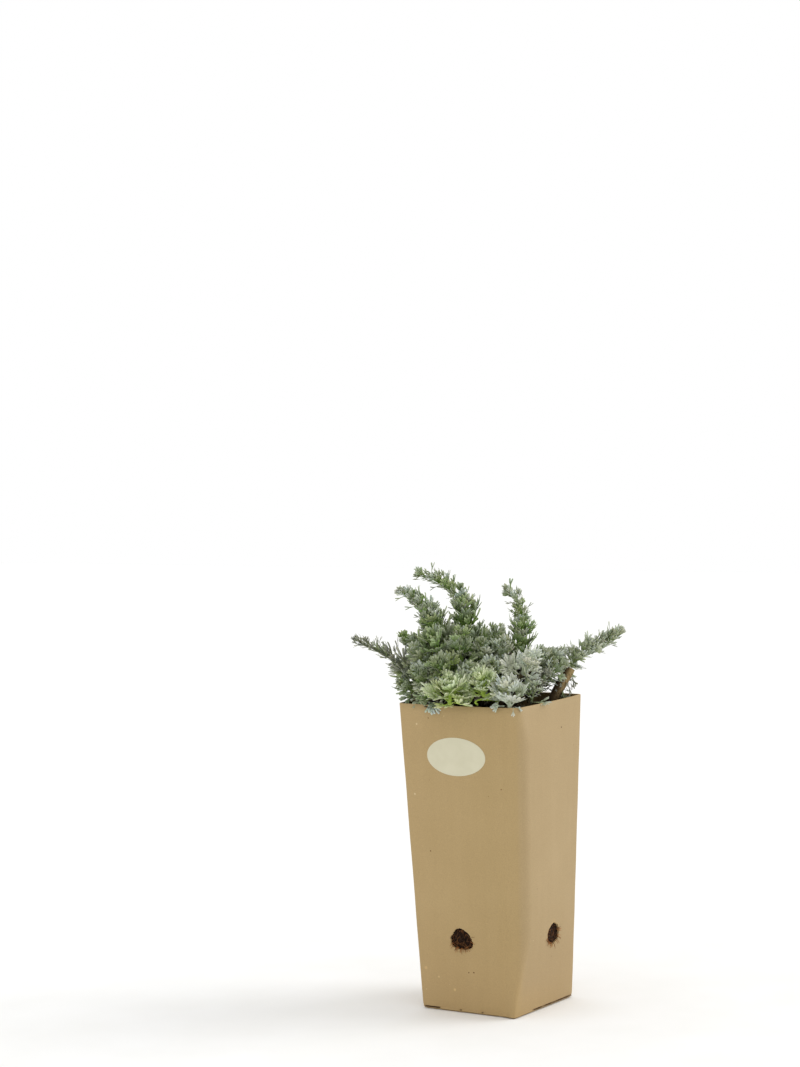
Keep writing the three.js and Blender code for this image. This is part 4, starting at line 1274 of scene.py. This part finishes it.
def make_long_shoot(name, shoot, material):
    reseed(name, shoot.get("variant", 0))
    axis_points = seen_path(shoot["path"], SHOOT_STEPS)
    frames = path_frames(axis_points)
    shape = Shape()
    radii = lerp(*SHOOT_RADII, np.linspace(0, 1, SHOOT_STEPS))
    add_tube(shape, axis_points, radii, STEM_SIDES, stem_tint(shoot["tones"][0]))
    stops = (0, 0.5, 1)

    def leaf_at(share, angle, kind, pitch, length, seeking, tone=None):
        at = share * (SHOOT_STEPS - 1)
        low = min(int(at), SHOOT_STEPS - 2)
        outward = outwards(frames, low, angle)
        centre = lerp(axis_points[low], axis_points[low + 1], at - low)
        root = centre + outward * radii[low] * SHOOT_LEAF_DEPTH
        tone = tone or shoot["tones"][int(random.uniform() < share**TIP_TONE_DELAY)]
        tone = pick(NEIGHBOUR_TONES[tone])
        add_leaf(shape, kind, root, frames[0][low], outward, pitch, length, tone, seeking=seeking)

    for i in range(shoot["leaves"]):
        share = (i + 0.5) / shoot["leaves"]
        pitch = np.interp(share, stops, shoot["pitches"]) + random.normal(0, SHOOT_PITCH_JITTER)
        angle = GOLDEN_ANGLE * i + random.normal(0, SHOOT_TURN_JITTER)
        tuft = noise.noise(Vector((share * TUFTS_ALONG, math.cos(angle), math.sin(angle))))
        length = np.interp(share, stops, shoot["lengths"]) * draw(SHOOT_LENGTHS)
        length *= 1 + TUFT_DEPTH * tuft
        if i % STRAY_EVERY == STRAY_EVERY // 2:
            length = min(length * STRAY_LENGTHENING, LONGEST_STRAY)
            leaf_at(share, angle, "stray", draw(STRAY_PITCHES), length, STRAY_SEEKING, STRAY_TONE)
            continue
        place = "outer" if share > OUTER_FROM else "inner"
        kind = pick(SHOOT_KINDS["slender" if shoot["tones"][0] == "dusk" else place])
        seeking = lerp(shoot.get("seeking", SHOOT_SEEKING), TIP_SEEKING, share**2)
        leaf_at(share, angle, kind, pitch, length, seeking)
    for i in range(COLLAR_LEAVES):
        pitch = draw(COLLAR_PITCHES)
        leaf_at(0, GOLDEN_ANGLE * i, "broad", pitch, shoot["lengths"][0], SHOOT_SEEKING)
    for i in range(TIP_LEAVES):
        length = shoot["lengths"][2] * draw(TIP_LENGTHS)
        leaf_at(1, GOLDEN_ANGLE * i, "young", TIP_PITCH + TIP_PITCH_STEP * i, length, TIP_SEEKING)
    add_piece(name + "_leaves", shape.to_mesh(name), material, [name])


def crown_heart():
    return seen(TRUNK_TOP) - (0, 0, HEART_DEPTH)


def head_axis(place):
    """Where a short shoot's stem starts and ends, and its direction"""
    tip = seen(place)
    direction = unit(unit(tip - crown_heart()) + (0, 0, HEAD_LIFT))
    return tip - direction * HEAD_STEM, tip, direction


def make_head(name, row, material):
    place, reach, tone = row
    special = SPECIAL_HEADS.get(name, {})
    reseed(name, special.get("variant", 0))
    start, tip, direction = head_axis(place)
    if "foot" in special:
        start = seen(special["foot"])
        direction = unit(tip - start)
    shape = Shape()
    axis_points = np.linspace(start, tip, HEAD_STEPS)
    frames = path_frames(axis_points)
    stem_radii = np.linspace(*HEAD_RADII, HEAD_STEPS) * special.get("stem", 1)
    add_tube(shape, axis_points, stem_radii, STEM_SIDES, stem_tint(tone))
    count = special.get("leaves", LEAVES_PER_HEAD)
    kinds = special.get("kinds", HEAD_KINDS[tone])
    pitches = special.get("pitches", HEAD_PITCHES)
    lowest = 0 if "foot" in special else LOWEST_LEAF
    for i in range(count):
        share = (i + 0.5) / count
        outward = outwards(frames, 0, GOLDEN_ANGLE * i + random.normal(0, HEAD_TURN_JITTER))
        root = lerp(start, tip, lerp(lowest, 1, share)) + outward * HEAD_LEAF_DEPTH
        inner = float(smoothstep(share, HEAD_INNER_FROM, 1.0))
        pitch = lerp(*pitches, inner) + random.normal(0, HEAD_PITCH_JITTER)
        length = reach * draw(HEAD_LENGTHS) * lerp(*HEAD_SHORTENING, inner)
        kind = pick(HEAD_TIP_KINDS if share > HEAD_TIP_FROM and tone != "pale" else kinds)
        add_leaf(shape, kind, root, direction, outward, pitch, length, pick(NEIGHBOUR_TONES[tone]))
    for stalk in special.get("stalks", []):
        path = seen_path(stalk, STALK_STEPS)
        add_tube(shape, path, np.linspace(*STALK_RADII, STALK_STEPS), STALK_SIDES, linear(TONES[tone][0]))
        for i in range(STALK_LEAVES):
            outward = outwards(frames, 0, STALK_LEAF_TURN * i)
            along = unit(path[-1] - path[-3])
            length = reach * STALK_LEAF_LENGTH
            add_leaf(shape, "sprig", path[-1], along, outward, STALK_LEAF_PITCH, length, tone)
    facing = unit(seen(OVER_RIM_FACING))
    for kind, root, end in special.get("over_rim", []):
        along = seen(end) - seen(root)
        length = np.linalg.norm(along)
        add_leaf(
            shape, kind, seen(root), unit(along), facing, 0, length, OVER_RIM_TONE,
            curl=OVER_RIM_CURL, roll=0, seeking=0,
        )
    add_piece(name + "_leaves", shape.to_mesh(name), material, [name])


def crown_ends():
    """Start and direction of every shoot that grows on the crown"""
    for place, _, _ in HEADS:
        start, _, direction = head_axis(place)
        yield start, direction
    for name, shoot in LONG_SHOOTS.items():
        if name != "shoot_east":
            start = seen(shoot["path"][0])
            yield start, unit(seen(shoot["path"][1]) - start)


def make_crown(bark, dry):
    """The woody stump, its branches, and the withered leaves that still hang on them"""
    reseed("crown")
    shape = Shape()
    leaves = Shape()
    foot, top = seen(TRUNK_FOOT), seen(TRUNK_TOP)
    trunk = smooth_path([foot, lerp(foot, top, 0.5), top], TRUNK_STEPS)
    along = (np.linspace(0, 1, TRUNK_STEPS) - TRUNK_SWELLS_FROM) / (1 - TRUNK_SWELLS_FROM)
    radii = np.linspace(*TRUNK_RADII, TRUNK_STEPS) + TRUNK_SWELL * np.sin(math.pi * np.clip(along, 0, 1))
    # Painted shade darkens the trunk and branches inside the dome
    add_tube(shape, trunk, radii, TRUNK_SIDES, TRUNK_PAINTED_SHADE, TRUNK_RIDGES)
    heart = crown_heart()
    for start, direction in crown_ends():
        control = start - direction * np.linalg.norm(start - heart) * BRANCH_CONTROL
        end = start + direction * BRANCH_OVERLAP
        branch = smooth_path([heart, lerp(heart, control, BRANCH_BEND), control, end], BRANCH_STEPS)
        radii = np.linspace(*BRANCH_RADII, BRANCH_STEPS)
        add_tube(shape, branch, radii, BRANCH_SIDES, BRANCH_PAINTED_SHADE, BRANCH_RIDGES)
        frames = path_frames(branch)
        for _ in range(WITHERED_LEAVES):
            at = int(random.integers(WITHERED_FROM, BRANCH_STEPS - 1))
            outward = outwards(frames, at, random.uniform(0, 2 * math.pi))
            outward = unit(outward - UP * WITHERED_DROOP)
            add_leaf(
                leaves, "narrow", branch[at], frames[0][at], outward, draw(WITHERED_PITCHES),
                draw(WITHERED_LENGTHS), "withered", curl=draw(WITHERED_CURLS),
                roll=random.normal(0, WITHERED_ROLL), seeking=0,
            )
    add_piece("woody_crown", shape.to_mesh("woody_crown"), bark, ["crown"])
    add_piece("withered_leaves", leaves.to_mesh("withered_leaves"), dry)


def make_bare_stem(bark, dry):
    """The thick old stem, with withered leaves along it and a few green ones hanging from its top"""
    reseed("bare_stem")
    shape = Shape()
    path = seen_path(BARE_STEM_PATH, BARE_STEM_STEPS)
    radii = np.linspace(*BARE_STEM_RADII, BARE_STEM_STEPS)
    frames = path_frames(path)
    tangents, normals, binormals = frames
    angles = round_angles(BARE_STEM_SIDES)[:, None]
    skin = normals[:, None] * np.cos(angles) + binormals[:, None] * np.sin(angles)
    # Painted light on the stem's lit side, painted shade on the rest
    painted_light_round = smoothstep(skin @ unit(seen(BARE_STEM_PAINTED_LIT_SIDE)), *STEM_PAINTED_LIGHT_ROUND)
    painted_light_along = smoothstep(np.linspace(0, 1, BARE_STEM_STEPS), *STEM_PAINTED_LIGHT_ALONG)
    stem_painted_light = np.concatenate([(painted_light_round * painted_light_along[:, None]).ravel(), STEM_PAINTED_LIGHT_ENDS])
    tint = lerp(np.array(BARE_STEM_PAINTED_SHADE), np.array(BARE_STEM_PAINTED_LIGHT), stem_painted_light[:, None])
    add_tube(shape, path, radii, BARE_STEM_SIDES, tint, BARE_STEM_RIDGES)
    add_piece("old_stem", shape.to_mesh("old_stem"), bark, ["bare_stem"])
    leaves = Shape()
    for _ in range(STEM_LEAVES):
        at = int(lerp(STEM_LEAVES_FROM, BARE_STEM_STEPS - 2, random.uniform()))
        outward = outwards(frames, at, random.uniform(0, 2 * math.pi))
        on_left = outward @ seen(STEM_RIGHT_SIDE) < STEM_LEFT_BELOW
        # darker tones on the stem's shaded left side, partly painted shade
        droop, tones, lengths = LEFT_OF_STEM if on_left else RIGHT_OF_STEM
        tone = pick(tones)
        length = random.uniform(*lengths)
        root = path[at] + outward * radii[at] * STEM_LEAF_DEPTH
        add_leaf(
            leaves, pick(["slim", "narrow"]), root, tangents[at], unit(outward - UP * droop),
            draw(STEM_LEAF_PITCHES), length, tone,
            curl=draw(STEM_LEAF_CURLS), seeking=0,
        )
    towards = unit(seen(HANGING_TOWARDS))
    for share in HANGING_LEAVES:
        at = int(share * (BARE_STEM_STEPS - 1))
        root = path[at] + towards * radii[at] * STEM_LEAF_DEPTH
        add_leaf(
            leaves, "narrow", root, tangents[at], towards, draw(HANGING_PITCHES),
            draw(HANGING_LENGTHS), pick(["grey", "dusk"]),
            curl=HANGING_CURL, seeking=HANGING_SEEKING,
        )
    add_piece("old_stem_leaves", leaves.to_mesh("old_stem_leaves"), dry)


# Scene
def make_camera():
    data = bpy.data.cameras.new("camera")
    data.lens = CAMERA_LENS
    camera = linked("camera", data)
    turn = Matrix.Rotation(math.radians(CAMERA_AZIMUTH), 4, "Z")
    tilt = Matrix.Rotation(math.radians(90 - CAMERA_PITCH), 4, "X")
    roll = Matrix.Rotation(math.radians(-CAMERA_ROLL), 4, "Z")
    camera.matrix_world = Matrix.Translation(CAMERA_PLACE) @ turn @ tilt @ roll
    bpy.context.scene.camera = camera


def make_lights():
    world = bpy.data.worlds.new("studio")
    world.use_nodes = True
    world.node_tree.nodes["Background"].inputs["Color"].default_value = (1, 1, 1, 1)
    world.node_tree.nodes["Background"].inputs["Strength"].default_value = WORLD_STRENGTH
    bpy.context.scene.world = world
    data = bpy.data.lights.new("key", "SUN")
    data.energy = SUN_STRENGTH
    data.angle = math.radians(SUN_SPREAD)
    lamp = linked("key", data)
    lamp.rotation_euler = Vector(-seen(SUN_FROM)).to_track_quat("-Z", "Y").to_euler()
    bpy.context.scene.view_settings.view_transform = "Standard"


def make_floor():
    shape = Shape()
    corners = [(-1, -1, 0), (1, -1, 0), (1, 1, 0), (-1, 1, 0)]
    shape.add(np.array(corners) * FLOOR_REACH, [(0, 1, 2, 3)])
    mesh = shape.to_mesh("floor")
    mesh.materials.append(plain_finish("floor_paint"))
    floor = linked("floor", mesh)


def main():
    make_camera()
    make_lights()
    make_floor()
    bark = plain_finish("bark")
    pot = make_pot(board_finish())
    make_label(plain_finish("label_paper"), pot)
    make_soil(plain_finish("soil"))
    make_drain_roots(plain_finish("roots"))
    slots = {node["node"]: node["material_slot"] for node in frame["record"]["subparts"]}
    finishes = {slot: leaf_finish(slot) for slot in sorted(set(slots.values())) if "foliage" in slot}
    make_crown(bark, leaf_finish("withered"))
    make_bare_stem(bark, finishes["foliage_grey"])
    for name, row in LONG_SHOOTS.items():
        make_long_shoot(name, row, finishes[slots[name]])
    for i, row in enumerate(HEADS):
        name = f"rosette_{i + 1:02d}"
        make_head(name, row, finishes[slots[name]])


main()
